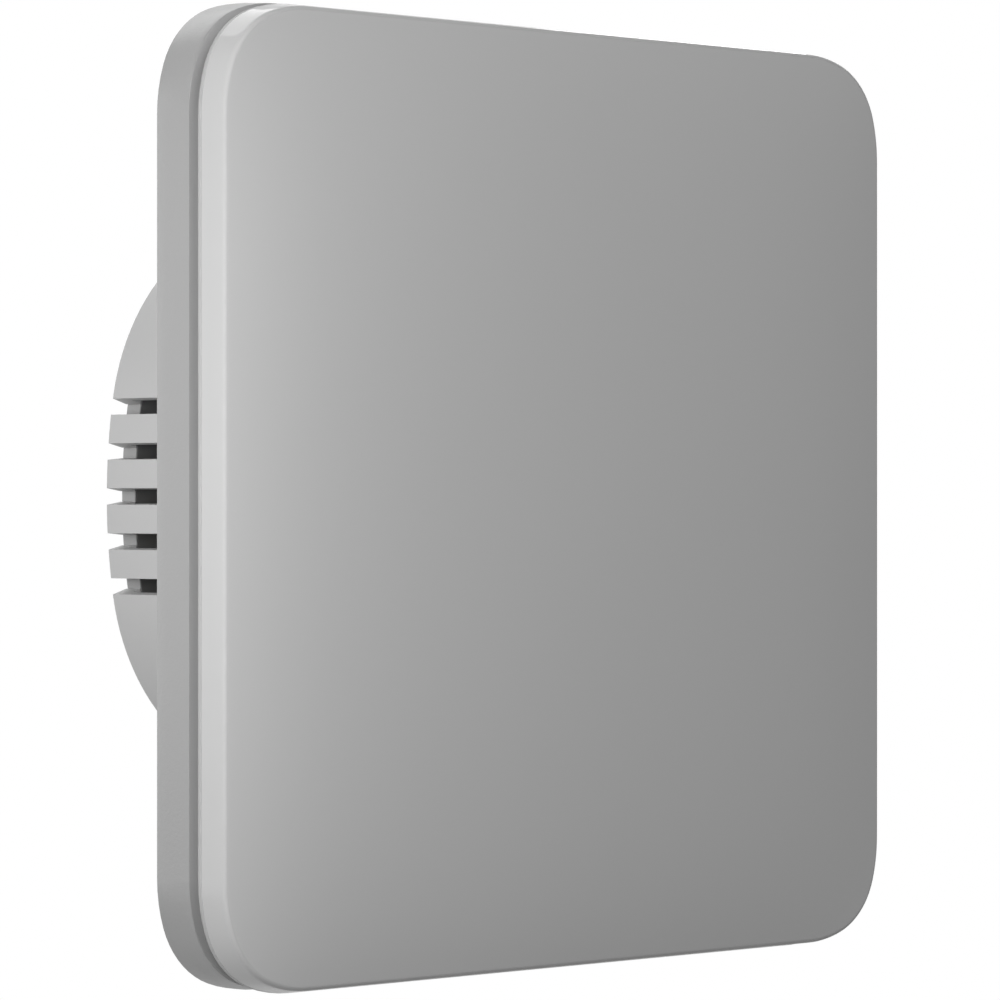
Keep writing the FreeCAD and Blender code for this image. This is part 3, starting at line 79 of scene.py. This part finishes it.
class Shading:
    # The nodes of one material, or of the world.
    def __init__(self, tree):
        self.tree = tree
        tree.nodes.clear()

    def node(self, kind, settings, values, output=0):
        made = self.tree.nodes.new(kind)
        for key, setting in settings.items():
            setattr(made, key, setting)
        for key, value in values.items():
            if isinstance(value, Value):
                self.tree.links.new(value.socket, made.inputs[key])
            else:
                made.inputs[key].default_value = value
        return Value(self, made.outputs[output]) if made.outputs else None

    def maths(self, operation, *values):
        return self.node("ShaderNodeMath", {"operation": operation}, dict(enumerate(values)))

    def between(self, value, low, high):
        # 0 below low, 1 above high, smooth in between.
        return self.node("ShaderNodeMapRange", {"interpolation_type": "SMOOTHSTEP"},
                         {"Value": value, "From Min": low, "From Max": high})

    def mixed(self, factor, first, second):
        # The Mix node's colour sockets are inputs 6 and 7 and output 2.
        return self.node("ShaderNodeMix", {"data_type": "RGBA"}, {0: factor, 6: first, 7: second}, 2)

    def mottled(self, cloud, colour, share):
        # The colour, darker and lighter by this share.
        return self.mixed(cloud, shade(colour, 1 - share), shade(colour, 1 + share))

    def place(self):
        return self.node("ShaderNodeTexCoord", {}, {}, "Object")

    def axis(self, name):
        return self.node("ShaderNodeSeparateXYZ", {}, {"Vector": self.place()}, name)

    def noise(self, size, detail=2.0, stretch=(1, 1, 1)):
        # Cloudy noise whose features are about this many metres across.
        scaled = self.node("ShaderNodeVectorMath", {"operation": "MULTIPLY"},
                           {0: self.place(), 1: [part / size for part in stretch]})
        return self.node("ShaderNodeTexNoise", {}, {"Vector": scaled, "Scale": 1.0, "Detail": detail})

    def bands(self, axis, size):
        # Even waves along an axis, each about 0.31 of the size long.
        return self.node("ShaderNodeTexWave", {"wave_type": "BANDS", "bands_direction": axis},
                         {"Vector": self.place(), "Scale": 1 / size})

    def bump(self, height, depth):
        return self.node("ShaderNodeBump", {}, {"Height": height, "Distance": depth})

    def close(self, values):
        shader = self.node("ShaderNodeBsdfPrincipled", {}, values)
        self.node("ShaderNodeOutputMaterial", {}, {"Surface": shader})


def newMaterial(name):
    material = bpy.data.materials.new(name)
    material.use_nodes = True
    return material, Shading(material.node_tree)


def grey(level):
    return (level, level, level, 1.0)


def shade(colour, factor):
    return tuple(part * factor for part in colour[:3]) + (1.0,)


def uneven(level, *swings):
    # A roughness that noises move up and down about the middle of their range, which is 0.5.
    for noise, amount in swings:
        level = level + (noise - 0.5) * amount
    return level


# Finishes

plasticIndex = 1.5
colours = {
    "shell": grey(0.412),
    # a little darker than the shell: painted shade that dulls the highlight on the cover's edge round
    "shellEdgeShaded": grey(0.385),
    "frame": grey(0.24),
    "drum": grey(0.47),
    "cap": grey(0.305),
    # painted shade for the inside of the rear cap, seen down the vent slots
    "capInsideShade": grey(0.095),
    "base": grey(0.33),
    "core": grey(0.42),
    "white": grey(0.75),
    "black": grey(0.022),
    "button": grey(0.20),
    "resistor": grey(0.30),
    "ferrite": grey(0.05),
    "phosphor": (0.85, 0.72, 0.30, 1.0),
    "darkBoard": (0.012, 0.085, 0.045, 1.0),
    "steel": (0.62, 0.62, 0.61, 1.0),
    "darkSteel": (0.34, 0.34, 0.35, 1.0),
    "brass": (0.78, 0.60, 0.28, 1.0),
    "copper": (0.80, 0.42, 0.26, 1.0),
    "blue": (0.03, 0.13, 0.40, 1.0),
    "yellow": (0.72, 0.46, 0.06, 1.0),
    "sleeve": (0.035, 0.045, 0.06, 1.0),
    "relay": (0.03, 0.06, 0.16, 1.0),
    "terminal": (0.10, 0.25, 0.12, 1.0),
}

# Injection-moulded plastic: a fine spark grain, and clouds in its colour and gloss
mouldValues = {
    "cloud": 12 * mm,
    "cloudDetail": 3.0,
    "cloudGloss": 0.08,         # how far the clouds and the grain move the roughness
    "grainGloss": 0.12,
}


def moulded(s, roughness, grain, depth, index):
    # The clouds, and the sockets of the shader that all the mouldings fill alike.
    cloud = s.noise(mouldValues["cloud"], mouldValues["cloudDetail"])
    fine = s.noise(grain)
    rough = uneven(roughness, (fine, mouldValues["grainGloss"]), (cloud, mouldValues["cloudGloss"]))
    return cloud, {"Roughness": rough, "Normal": s.bump(fine, depth), "IOR": index}


def mouldedPlastic(name, colour, roughness, grain, depth, mottle=0.03, index=plasticIndex):
    material, s = newMaterial(name)
    cloud, sockets = moulded(s, roughness, grain, depth, index)
    s.close({"Base Color": s.mottled(cloud, colour, mottle), **sockets})
    return material


# The rear cap's plastic, with painted shade that darkens its inside, the floor of the vent slots
capValues = {
    "roughness": 0.52,
    "grain": 0.3 * mm,
    "depth": 0.012 * mm,
    "mottle": 0.015,
    "shadedSide": 24.05 * mm,    # the painted shade ends at this Y, just past its surface
    "blend": 0.1 * mm,
}


def capPlastic(name, colour, insideShade, values):
    material, s = newMaterial(name)
    cloud, sockets = moulded(s, values["roughness"], values["grain"], values["depth"], plasticIndex)
    outside = s.between(s.axis("Y"), values["shadedSide"], values["shadedSide"] + values["blend"])
    # Painted shade: the inside takes the dark colour, the outside its own mottled one.
    tint = s.mixed(outside, insideShade, s.mottled(cloud, colour, values["mottle"]))
    s.close({"Base Color": tint, **sockets})
    return material


# Rolled or drawn metal: streaks along the way it was worked, and patches of more and less gloss
metalValues = {
    "streak": 0.25 * mm,
    "patch": 5 * mm,
    "detail": 3.0,
    "streakShare": 0.6,         # of the tint, and the patches give the rest
    "streakGloss": 0.18,
    "patchGloss": 0.14,
    "depth": 0.004 * mm,
}
stretches = {
    "rolled": (0.05, 1, 1),     # streaks along X, and along Y in the others
    "turned": (1, 0.3, 1),
    "stamped": (1, 0.2, 1),
    "strip": (1, 0.06, 1),
}


def sheetMetal(name, colour, roughness, way, mottle=0.1):
    values = metalValues
    material, s = newMaterial(name)
    streaks = s.noise(values["streak"], values["detail"], stretches[way])
    patches = s.noise(values["patch"], values["detail"])
    cloud = streaks * values["streakShare"] + patches * (1 - values["streakShare"])
    rough = uneven(roughness, (streaks, values["streakGloss"]), (patches, values["patchGloss"]))
    s.close({"Base Color": s.mottled(cloud, colour, mottle), "Roughness": rough, "Metallic": 1.0,
             "Normal": s.bump(streaks, values["depth"])})
    return material


# Solder mask over copper: parallel tracks between filled areas, raised a little under the lacquer
boardValues = {
    "tracks": 3.4 * mm,
    "trackEdge": (0.45, 0.6),   # the part of a wave over which its copper begins
    "fills": 5 * mm,
    "fillEdge": (0.50, 0.51),
    "weave": 0.5 * mm,          # of the glass fibre
    "weaveGloss": 0.15,
    "copperShare": 0.8,         # of the tint, and the weave gives the rest
    "dark": 0.7,
    "light": 1.4,
    "roughness": 0.32,
    "depth": 0.03 * mm,
}


def circuitBoard(name, colour, values):
    material, s = newMaterial(name)
    filled = s.between(s.noise(values["fills"], 1.0), *values["fillEdge"])
    copper = s.between(s.bands("X", values["tracks"]), *values["trackEdge"]) * (1 - filled) + filled
    weave = s.noise(values["weave"], 1.0)
    cloud = copper * values["copperShare"] + weave * (1 - values["copperShare"])
    tint = s.mixed(cloud, shade(colour, values["dark"]), shade(colour, values["light"]))
    s.close({"Base Color": tint, "Roughness": values["roughness"] + weave * values["weaveGloss"],
             "Normal": s.bump(copper, values["depth"])})
    return material


# Close turns of lacquered wire round the Y axis
wireValues = {
    "turns": 1.6 * mm,
    "cloud": 2 * mm,
    "cloudGloss": 0.1,
    "turnShare": 0.7,           # of the tint, and the clouds give the rest
    "dark": 0.45,
    "light": 1.15,
    "roughness": 0.3,
    "metallic": 0.85,
    "depth": 0.06 * mm,
}


def woundWire(name, colour, values):
    material, s = newMaterial(name)
    turns = s.bands("Y", values["turns"])
    cloud = s.noise(values["cloud"])
    tint = s.mixed(turns * values["turnShare"] + cloud * (1 - values["turnShare"]),
                   shade(colour, values["dark"]), shade(colour, values["light"]))
    s.close({"Base Color": tint, "Roughness": values["roughness"] + cloud * values["cloudGloss"],
             "Metallic": values["metallic"], "Normal": s.bump(turns, values["depth"])})
    return material


# The touch surface: satin, with a grain that is only just seen
satinValues = {
    "grain": 0.16 * mm,
    "grainGloss": 0.08,
    "cloud": 25 * mm,
    "cloudGloss": 0.04,
    "mottle": 0.015,
    "depth": 0.004 * mm,
}


def satinFace(name, colour, roughness):
    values = satinValues
    material, s = newMaterial(name)
    grain = s.noise(values["grain"])
    cloud = s.noise(values["cloud"])
    rough = uneven(roughness, (grain, values["grainGloss"]), (cloud, values["cloudGloss"]))
    s.close({"Base Color": s.mottled(cloud, colour, values["mottle"]), "Roughness": rough,
             "Normal": s.bump(grain, values["depth"]), "IOR": plasticIndex})
    return material


# The polished side wall, with the faintest orange peel
polishValues = {
    "peel": 2.5 * mm,
    "peelGloss": 0.04,
    "mottle": 0.01,
    "roughness": 0.06,
    "depth": 0.003 * mm,
}


def glossWall(name, colour, values):
    material, s = newMaterial(name)
    peel = s.noise(values["peel"])
    s.close({"Base Color": s.mottled(peel, colour, values["mottle"]),
             "Roughness": values["roughness"] + peel * values["peelGloss"],
             "Normal": s.bump(peel, values["depth"]), "IOR": plasticIndex})
    return material


finishes = {
    # Plastics and boards: name, colour, roughness, size and depth of the grain
    "cover_plastic": satinFace("cover_satin", colours["shell"], 0.44),
    "base_plastic": mouldedPlastic("base_moulding", colours["base"], 0.5, 0.3 * mm, 0.006 * mm),
    "frame_plastic": mouldedPlastic("frame_grain", colours["frame"], 0.35, 0.28 * mm, 0.016 * mm,
                                    mottle=0.012, index=1.75),
    "drum_plastic": mouldedPlastic("drum_moulding", colours["drum"], 0.5, 0.3 * mm, 0.01 * mm, mottle=0.015),
    "cap_plastic": capPlastic("cap_moulding", colours["cap"], colours["capInsideShade"], capValues),
    "core_plastic": mouldedPlastic("core_moulding", colours["core"], 0.5, 0.3 * mm, 0.012 * mm),
    "button_plastic": mouldedPlastic("button_moulding", colours["button"], 0.36, 0.35 * mm, 0.008 * mm),
    "terminal_plastic": mouldedPlastic("terminal_nylon", colours["terminal"], 0.42, 0.35 * mm, 0.01 * mm),
    "relay_plastic": mouldedPlastic("relay_case", colours["relay"], 0.3, 0.4 * mm, 0.008 * mm, mottle=0.05),
    "bobbin_plastic": mouldedPlastic("bobbin_nylon", colours["white"], 0.4, 0.4 * mm, 0.008 * mm),
    "connector_black": mouldedPlastic("connector_nylon", colours["black"], 0.42, 0.35 * mm, 0.01 * mm,
                                      mottle=0.15),
    "chip_black": mouldedPlastic("chip_epoxy", colours["black"], 0.55, 0.2 * mm, 0.012 * mm, mottle=0.12),
    "diffuser_white": mouldedPlastic("diffuser_film", colours["white"], 0.4, 0.4 * mm, 0.006 * mm),
    "led_white": mouldedPlastic("led_phosphor", colours["phosphor"], 0.35, 0.2 * mm, 0.006 * mm,
                                mottle=0.05),
    "capacitor_sleeve": mouldedPlastic("shrunk_sleeve", colours["sleeve"], 0.22, 1.5 * mm, 0.01 * mm,
                                       mottle=0.1),
    "film_yellow": mouldedPlastic("film_box", colours["yellow"], 0.34, 0.5 * mm, 0.008 * mm, mottle=0.04),
    "varistor_blue": mouldedPlastic("dipped_epoxy", colours["blue"], 0.25, 1.2 * mm, 0.05 * mm, mottle=0.08),
    "ferrite": mouldedPlastic("ferrite_core", colours["ferrite"], 0.5, 0.25 * mm, 0.02 * mm, mottle=0.15),
    "resistor_grey": mouldedPlastic("resistor_lacquer", colours["resistor"], 0.4, 0.6 * mm, 0.015 * mm,
                                    mottle=0.06),
    "board": circuitBoard("board_mask", colours["darkBoard"], boardValues),
    # Metals: name, colour, roughness, the way they were worked
    "plate_steel": sheetMetal("plated_sheet", colours["steel"], 0.34, "rolled"),
    "screw_steel": sheetMetal("screw_zinc", colours["steel"], 0.26, "turned", mottle=0.07),
    "spring_steel": sheetMetal("spring_strip", colours["steel"], 0.22, "strip", mottle=0.06),
    "can_steel": sheetMetal("tinned_can", colours["steel"], 0.28, "rolled", mottle=0.05),
    "iron": sheetMetal("relay_iron", colours["darkSteel"], 0.4, "rolled"),
    "contact_brass": sheetMetal("contact_brass", colours["brass"], 0.25, "stamped", mottle=0.06),
    "electrode_copper": sheetMetal("electrode_foil", colours["copper"], 0.36, "rolled", mottle=0.05),
    "winding_copper": woundWire("coil_winding", colours["copper"], wireValues),
}
wallGloss = glossWall("cover_gloss", colours["shell"], polishValues)
# The cover's edge round is painted darker than the shell, as painted shade that dulls its highlight.
edgeSatinShaded = satinFace("cover_edge_shaded", colours["shellEdgeShaded"], 0.7)
print("finishes made,", len(finishes) + 2)


# Meshes

def settle(piece, node):
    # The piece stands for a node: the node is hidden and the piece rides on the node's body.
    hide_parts(node)
    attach(piece, bodyOf[node])
    return piece


def newPiece(name, mesh, *materials):
    for material in materials:
        mesh.materials.append(material)
    piece = bpy.data.objects.new(name, mesh)
    bpy.context.scene.collection.objects.link(piece)
    return piece


def applied(piece):
    # The piece's mesh with its modifiers worked in.
    bpy.context.view_layer.update()
    mesh = bpy.data.meshes.new_from_object(piece.evaluated_get(bpy.context.evaluated_depsgraph_get()))
    piece.modifiers.clear()
    old = piece.data
    piece.data = mesh
    bpy.data.meshes.remove(old)
    return piece


easeValues = {
    "weld": 0.0005 * mm,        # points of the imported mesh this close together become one
    "flat": math.radians(0.6),  # neighbouring faces that bend less than this become one
    "sharp": math.radians(30),  # edges that bend more than this are eased
    "segments": 2,
}


def eased(node, width, cutter=None):
    # A copy of a node's solid with its edges eased, as a mould or a press leaves them.
    mesh = frame["nodes"][node].data.copy()
    mesh.materials.clear()
    solid = bmesh.new()
    solid.from_mesh(mesh)
    bmesh.ops.remove_doubles(solid, verts=solid.verts, dist=easeValues["weld"])
    bmesh.ops.dissolve_limit(solid, angle_limit=easeValues["flat"], verts=solid.verts, edges=solid.edges)
    for face in solid.faces:
        face.material_index = 0
    solid.to_mesh(mesh)
    solid.free()
    if "custom_normal" in mesh.attributes:
        mesh.attributes.remove(mesh.attributes["custom_normal"])
    piece = newPiece(node + "_eased", mesh, finishes[slotOf[node]])
    if cutter:
        cut = piece.modifiers.new("cut", "BOOLEAN")
        cut.operation = "DIFFERENCE"
        cut.solver = "EXACT"
        cut.object = cutter
    bevel = piece.modifiers.new("edges", "BEVEL")
    bevel.width = width
    bevel.segments = easeValues["segments"]
    bevel.limit_method = "ANGLE"
    bevel.angle_limit = easeValues["sharp"]
    bevel.miter_outer = "MITER_ARC"
    mesh.shade_smooth()
    weighted = piece.modifiers.new("normals", "WEIGHTED_NORMAL")
    weighted.keep_sharp = True
    return settle(applied(piece), node)


# Front cover: a shell made ring by ring, from the rear of its side wall to the middle of the face
coverValues = {
    "endRadius": 13.4 * mm,     # the three arcs of a corner, before the side wall leans out
    "midRadius": 7.7 * mm,
    "sweep": math.radians(18.9),
    "sideDepth": 2.6 * mm,
    "flare": 0.38 * mm,         # how far the side wall leans out on its way to the rear
    "crown": 1.2 * mm,
    "power": 6.0,               # a higher one keeps the face flat for longer
    "edgeRound": 0.45 * mm,
    "shutLine": 0.03 * mm,      # chamfer along the rear of the wall
    "face": 1.3 * mm,           # how thick the face and the side wall are
    "wall": 1.5 * mm,
    "straightSteps": 28,
    "arcSteps": 7,
    "roundSteps": 6,
    "wallRing": 0.5,            # share of the side's depth where the wall has one more ring
    "faceRings": 44,
    "innerRings": 12,
    "innerWallRings": (0.5, 1.0),
    "ringPower": 1.5,           # above 1, the rings of the face are closer together near its edge
    "slopeStep": 0.05 * mm,
    "sharp": math.radians(40),  # edges that bend more than this are shaded sharp
}


def squareOutline(half, values):
    # Points and outward directions round a square whose corners are three tangent arcs.
    end = values["endRadius"]
    mid = values["midRadius"]
    sweep = values["sweep"]
    lean = Vector((math.cos(sweep), math.sin(sweep))) * (end - mid)
    arm = half - end + (end - mid) * (math.cos(sweep) - math.sin(sweep))
    lower = Vector((half - end, arm))
    upper = Vector((arm, half - end))
    quarter = math.pi / 2
    arcs = [(lower, end, 0.0, sweep), (lower + lean, mid, sweep, quarter - sweep),
            (upper, end, quarter - sweep, quarter)]
    side = []
    for step in range(values["straightSteps"]):
        share = step / values["straightSteps"]
        side.append((Vector((half, arm * (2 * share - 1))), Vector((1.0, 0.0))))
    for centre, radius, begin, finish in arcs:
        steps = values["arcSteps"] * (2 if radius == mid else 1)
        for step in range(steps):
            angle = begin + (finish - begin) * step / steps
            out = Vector((math.cos(angle), math.sin(angle)))
            side.append((centre + out * radius, out))
    points = []
    for turn in range(4):
        spin = Matrix.Rotation(turn * quarter, 2)
        points += [(spin @ place, spin @ out) for place, out in side]
    return points


def ringFaces(rings, count):
    # Quads between neighbouring rings of the same number of points.
    faces = []
    for ring in range(rings - 1):
        for step in range(count):
            following = (step + 1) % count
            faces.append((ring * count + step, ring * count + following,
                          (ring + 1) * count + following, (ring + 1) * count + step))
    return faces


def frontCover(values):
    low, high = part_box("front_cover")
    half = high.x - values["flare"]
    drop = (low.z + high.z) / 2
    rear = -high.y
    front = rear + values["sideDepth"]
    ceiling = front - values["face"]
    inset = values["wall"]
    shut = values["shutLine"]
    lean = values["flare"] / values["sideDepth"]
    outline = squareOutline(half, values)
    count = len(outline)

    def crown(place):
        return (values["crown"] * (1 - abs(place.x / half) ** values["power"])
                * (1 - abs(place.y / half) ** values["power"]))

    def slope(place, out):
        return (crown(place - out * values["slopeStep"]) - crown(place)) / values["slopeStep"]

    def wallPoint(forward):
        return lambda place, out: (place + out * lean * (front - forward), forward)

    def roundPoint(share):
        # A point of the rounding that joins the leaning wall to the crown.
        def give(place, out):
            rise = crown(place)
            wallAngle = math.atan(lean)
            topAngle = math.pi / 2 - math.atan(slope(place, out))
            corner = Vector((-lean * rise, front + rise))
            wallOut = Vector((math.cos(wallAngle), math.sin(wallAngle)))
            topOut = Vector((math.cos(topAngle), math.sin(topAngle)))
            centre = corner - (wallOut + topOut) * values["edgeRound"] / (1 + wallOut.dot(topOut))
            angle = wallAngle + (topAngle - wallAngle) * share
            spot = centre + Vector((math.cos(angle), math.sin(angle))) * values["edgeRound"]
            return place + out * spot.x, spot.y
        return give

    def ringOf(give):
        return [give(place, out) for place, out in outline]

    def narrowing(rings):
        return [1 - (ring / rings) ** values["ringPower"] for ring in range(1, rings)]

    def placed(rings):
        return [Vector((spot.x, -forward, spot.y + drop)) for ring in rings for spot, forward in ring]

    # The outside
    rings = [ringOf(lambda place, out: (place - out * inset, rear)),
             ringOf(lambda place, out: (place + out * (values["flare"] - shut), rear)),
             ringOf(wallPoint(rear + shut)),
             ringOf(wallPoint(rear + values["sideDepth"] * values["wallRing"]))]
    wallEnd = len(rings)
    for step in range(values["roundSteps"] + 1):
        rings.append(ringOf(roundPoint(step / values["roundSteps"])))
    roundEnd = len(rings) - 1
    edge = rings[-1]
    for scale in narrowing(values["faceRings"]):
        rings.append([(spot * scale, front + crown(spot * scale)) for spot, forward in edge])
    vertices = placed(rings)
    faces = ringFaces(len(rings), count)
    lastRing = (len(rings) - 1) * count
    middle = len(vertices)
    vertices.append(Vector((0, -(front + values["crown"]), drop)))
    faces += [(lastRing + step, lastRing + (step + 1) % count, middle) for step in range(count)]

    # The inside: a straight wall and a ceiling that follows the crown
    inside = []
    for share in values["innerWallRings"]:
        inside.append([(place - out * inset, rear + (ceiling + crown(place) - rear) * share)
                       for place, out in outline])
    for scale in narrowing(values["innerRings"]):
        narrow = [(place - out * inset) * scale for place, out in outline]
        inside.append([(spot, ceiling + crown(spot)) for spot in narrow])
    base = len(vertices)
    vertices += placed(inside)
    for step in range(count):
        following = (step + 1) % count
        faces.append((step, base + step, base + following, following))
    faces += [tuple(base + corner for corner in reversed(face)) for face in ringFaces(len(inside), count)]
    lastRing = base + (len(inside) - 1) * count
    middle = len(vertices)
    vertices.append(Vector((0, -(ceiling + values["crown"]), drop)))
    faces += [(lastRing + (step + 1) % count, lastRing + step, middle) for step in range(count)]

    mesh = bpy.data.meshes.new("front_cover_shell")
    mesh.from_pydata(vertices, [], faces)
    shell = bmesh.new()
    shell.from_mesh(mesh)
    bmesh.ops.recalc_face_normals(shell, faces=shell.faces)
    shell.to_mesh(mesh)
    shell.free()
    piece = newPiece("front_cover_shell", mesh, finishes["cover_plastic"], wallGloss, edgeSatinShaded)
    for face in mesh.polygons:
        strip = face.index // count
        face.material_index = 1 if 1 <= strip < wallEnd else 2 if wallEnd <= strip < roundEnd else 0
    mesh.shade_smooth()
    mesh.set_sharp_from_angle(angle=values["sharp"])
    return settle(piece, "front_cover")


frontCover(coverValues)
print("front cover made")

# Cover frame: its solid, with a rebate round the front that leaves a shadow gap behind the panel
frameValues = {
    "endRadius": 13.5 * mm,
    "midRadius": 8.3 * mm,
    "sweep": math.radians(18.9),
    "lean": 0.19 * mm,          # how far the tapered side stands in where the rebate starts
    "rebateDepth": 0.8 * mm,
    "rebateWidth": 0.85 * mm,
    "rebateLift": 0.3 * mm,     # how much deeper it is at the side than inside
    "rebateRound": 0.05 * mm,
    "spare": 1.0 * mm,          # how far the cutting ring reaches past the frame
    "weld": 0.001 * mm,
    "straightSteps": 1,
    "arcSteps": 8,
    "roundSteps": 4,
    "edge": 0.2 * mm,           # how far the edges are eased
}


def rebateRing(values):
    low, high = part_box("cover_frame")
    side = high.x - values["lean"]
    narrow = side - values["rebateWidth"]
    wide = side + values["spare"]
    back = low.y + values["rebateDepth"]
    front = low.y - values["spare"]
    start = back + values["rebateLift"]
    section = [(narrow, back)]
    for step in range(values["roundSteps"] + 1):
        angle = math.pi / 2 * step / values["roundSteps"]
        section.append((side - values["rebateRound"] * (1 - math.sin(angle)),
                        start + values["rebateRound"] * (1 - math.cos(angle))))
    section += [(wide, start + values["rebateRound"]), (wide, front), (narrow, front), (narrow, back)]
    vertices = []
    for half, level in section:
        outline = squareOutline(half, values)
        vertices += [Vector((spot.x, level, spot.y)) for spot, out in outline]
    mesh = bpy.data.meshes.new("rebate_ring")
    mesh.from_pydata(vertices, [], ringFaces(len(section), len(outline)))
    ring = bmesh.new()
    ring.from_mesh(mesh)
    bmesh.ops.remove_doubles(ring, verts=ring.verts, dist=values["weld"])
    bmesh.ops.recalc_face_normals(ring, faces=ring.faces)
    ring.to_mesh(mesh)
    ring.free()
    return newPiece("rebate_ring", mesh)


cutter = rebateRing(frameValues)
eased("cover_frame", frameValues["edge"], cutter)
bpy.data.objects.remove(cutter)
print("frame made")

# Every other piece keeps its solid, with its edges eased by this much
edgeWidths = {
    "panel_base": 0.07 * mm, "touch_board": 0.06 * mm, "touch_electrode": 0.05 * mm, "touch_chip": 0.06 * mm,
    "indicator_leds": 0.04 * mm, "light_guide": 0.05 * mm, "panel_plug": 0.15 * mm,
    "panel_plug_pins": 0.08 * mm, "panel_clips": 0.05 * mm, "mounting_plate": 0.12 * mm,
    "core_front": 0.15 * mm, "core_housing": 0.12 * mm, "rear_cover": 0.15 * mm, "core_screws": 0.07 * mm,
    "power_board": 0.06 * mm, "control_board": 0.06 * mm, "board_header": 0.15 * mm,
    "radio_module": 0.06 * mm, "radio_shield": 0.12 * mm, "antenna": 0.05 * mm, "microcontroller": 0.08 * mm,
    "core_socket": 0.08 * mm, "socket_contacts": 0.03 * mm, "tact_switch": 0.12 * mm,
    "function_button": 0.12 * mm, "bulk_capacitors": 0.35 * mm, "film_capacitor": 0.3 * mm,
    "varistor": 0.4 * mm, "power_inductor": 0.12 * mm, "fuse_resistor": 0.4 * mm, "rectifier": 0.2 * mm,
    "supply_chip": 0.1 * mm, "relay_base": 0.12 * mm, "relay_case": 0.2 * mm, "relay_bobbin": 0.08 * mm,
    "relay_coil": 0.1 * mm, "relay_yoke": 0.08 * mm, "relay_contacts": 0.06 * mm,
    "relay_armature": 0.08 * mm, "relay_blade": 0.04 * mm, "terminal_block": 0.12 * mm,
    "terminal_bars": 0.08 * mm,
}
for number in (1, 2, 3):
    edgeWidths[f"terminal_screw_{number}"] = 0.1 * mm
    edgeWidths[f"clamp_cage_{number}"] = 0.1 * mm
for node, width in edgeWidths.items():
    eased(node, width)
print("pieces eased,", len(edgeWidths))

# Camera, as the photograph was taken: level, from the switch's left front, with a long lens
cameraValues = {
    "place": (-324.52 * mm, -323.775 * mm, -0.33 * mm),
    "view": (0.70641, 0.70780, 0.0),
    "lens": 176.81,
    "sensor": 36.0,
    "clipStart": 0.01,
}


def addCamera(values):
    data = bpy.data.cameras.new("photo_camera")
    data.lens = values["lens"]
    data.sensor_width = values["sensor"]
    data.clip_start = values["clipStart"]
    camera = bpy.data.objects.new("photo_camera", data)
    camera.location = values["place"]
    camera.rotation_euler = Vector(values["view"]).to_track_quat("-Z", "Y").to_euler()
    bpy.context.scene.collection.objects.link(camera)
    bpy.context.scene.camera = camera


addCamera(cameraValues)
print("camera placed")

# Studio: a pale floor well below the switch, a white surround, and soft lamps that all face the switch
studioValues = {
    "floorDrop": 0.25,
    "floorRadius": 1.1,
    "floorSides": 96,
    "floorColour": grey(0.86),
    "floorWhite": 0.5,
    "white": 1.0,               # the strength at which the surround is white
    "fill": 0.14,
}
lightValues = {
    "key": {"place": (-0.130, -0.052, 0.012), "size": (0.07, 0.07), "watts": 0.134},
    "side": {"place": (-0.185, -0.050, 0.010), "size": (0.10, 0.24), "watts": 0.035},
    "front": {"place": (-0.045, -0.235, 0.30), "size": (0.20, 0.20), "watts": 0.725},
    "backLeft": {"place": (-0.224, 0.388, 0.039), "size": (0.22, 0.22), "watts": 0.28},
    "softTop": {"place": (0.09, 0.26, 0.355), "size": (0.42, 0.22), "watts": 0.42},
    "backRight": {"place": (0.38, 0.20, 0.12), "size": (0.25, 0.25), "watts": 0.9},
}


def backgroundRays(s):
    # 1 for a ray from the camera, a reflection or glass, 0 for the light that falls on the switch.
    rays = s.node("ShaderNodeLightPath", {}, {}, "Is Camera Ray")
    for ray in ("Is Glossy Ray", "Is Transmission Ray"):
        rays = s.maths("MAXIMUM", rays, s.node("ShaderNodeLightPath", {}, {}, ray))
    return rays


def addFloor(values):
    bpy.ops.mesh.primitive_circle_add(vertices=values["floorSides"], radius=values["floorRadius"],
                                      fill_type="NGON", location=(0, 0, -values["floorDrop"]))
    floor = bpy.context.object
    floor.name = "studio_floor"
    material, s = newMaterial("pale_floor")
    paint = s.node("ShaderNodeBsdfDiffuse", {}, {"Color": values["floorColour"]})
    white = s.node("ShaderNodeEmission", {}, {"Color": grey(1.0), "Strength": values["white"]})
    share = backgroundRays(s) * values["floorWhite"]
    mixed = s.node("ShaderNodeMixShader", {}, {0: share, 1: paint, 2: white})
    s.node("ShaderNodeOutputMaterial", {}, {"Surface": mixed})
    floor.data.materials.append(material)


def addWorld(values):
    world = bpy.data.worlds.new("studio")
    world.use_nodes = True
    bpy.context.scene.world = world
    s = Shading(world.node_tree)
    fill = s.node("ShaderNodeBackground", {}, {"Color": grey(1.0), "Strength": values["fill"]})
    white = s.node("ShaderNodeBackground", {}, {"Color": grey(1.0), "Strength": values["white"]})
    mixed = s.node("ShaderNodeMixShader", {}, {0: backgroundRays(s), 1: fill, 2: white})
    s.node("ShaderNodeOutputWorld", {}, {"Surface": mixed})


def addLight(name, values):
    data = bpy.data.lights.new(name, "AREA")
    data.shape = "RECTANGLE"
    data.size, data.size_y = values["size"]
    data.energy = values["watts"]
    lamp = bpy.data.objects.new(name, data)
    lamp.location = values["place"]
    lamp.rotation_euler = Vector(values["place"]).to_track_quat("Z", "Y").to_euler()
    lamp.visible_camera = False
    bpy.context.scene.collection.objects.link(lamp)


addFloor(studioValues)
addWorld(studioValues)
for name, values in lightValues.items():
    addLight(name, values)
bpy.context.scene.view_settings.view_transform = "Standard"
print("studio set")
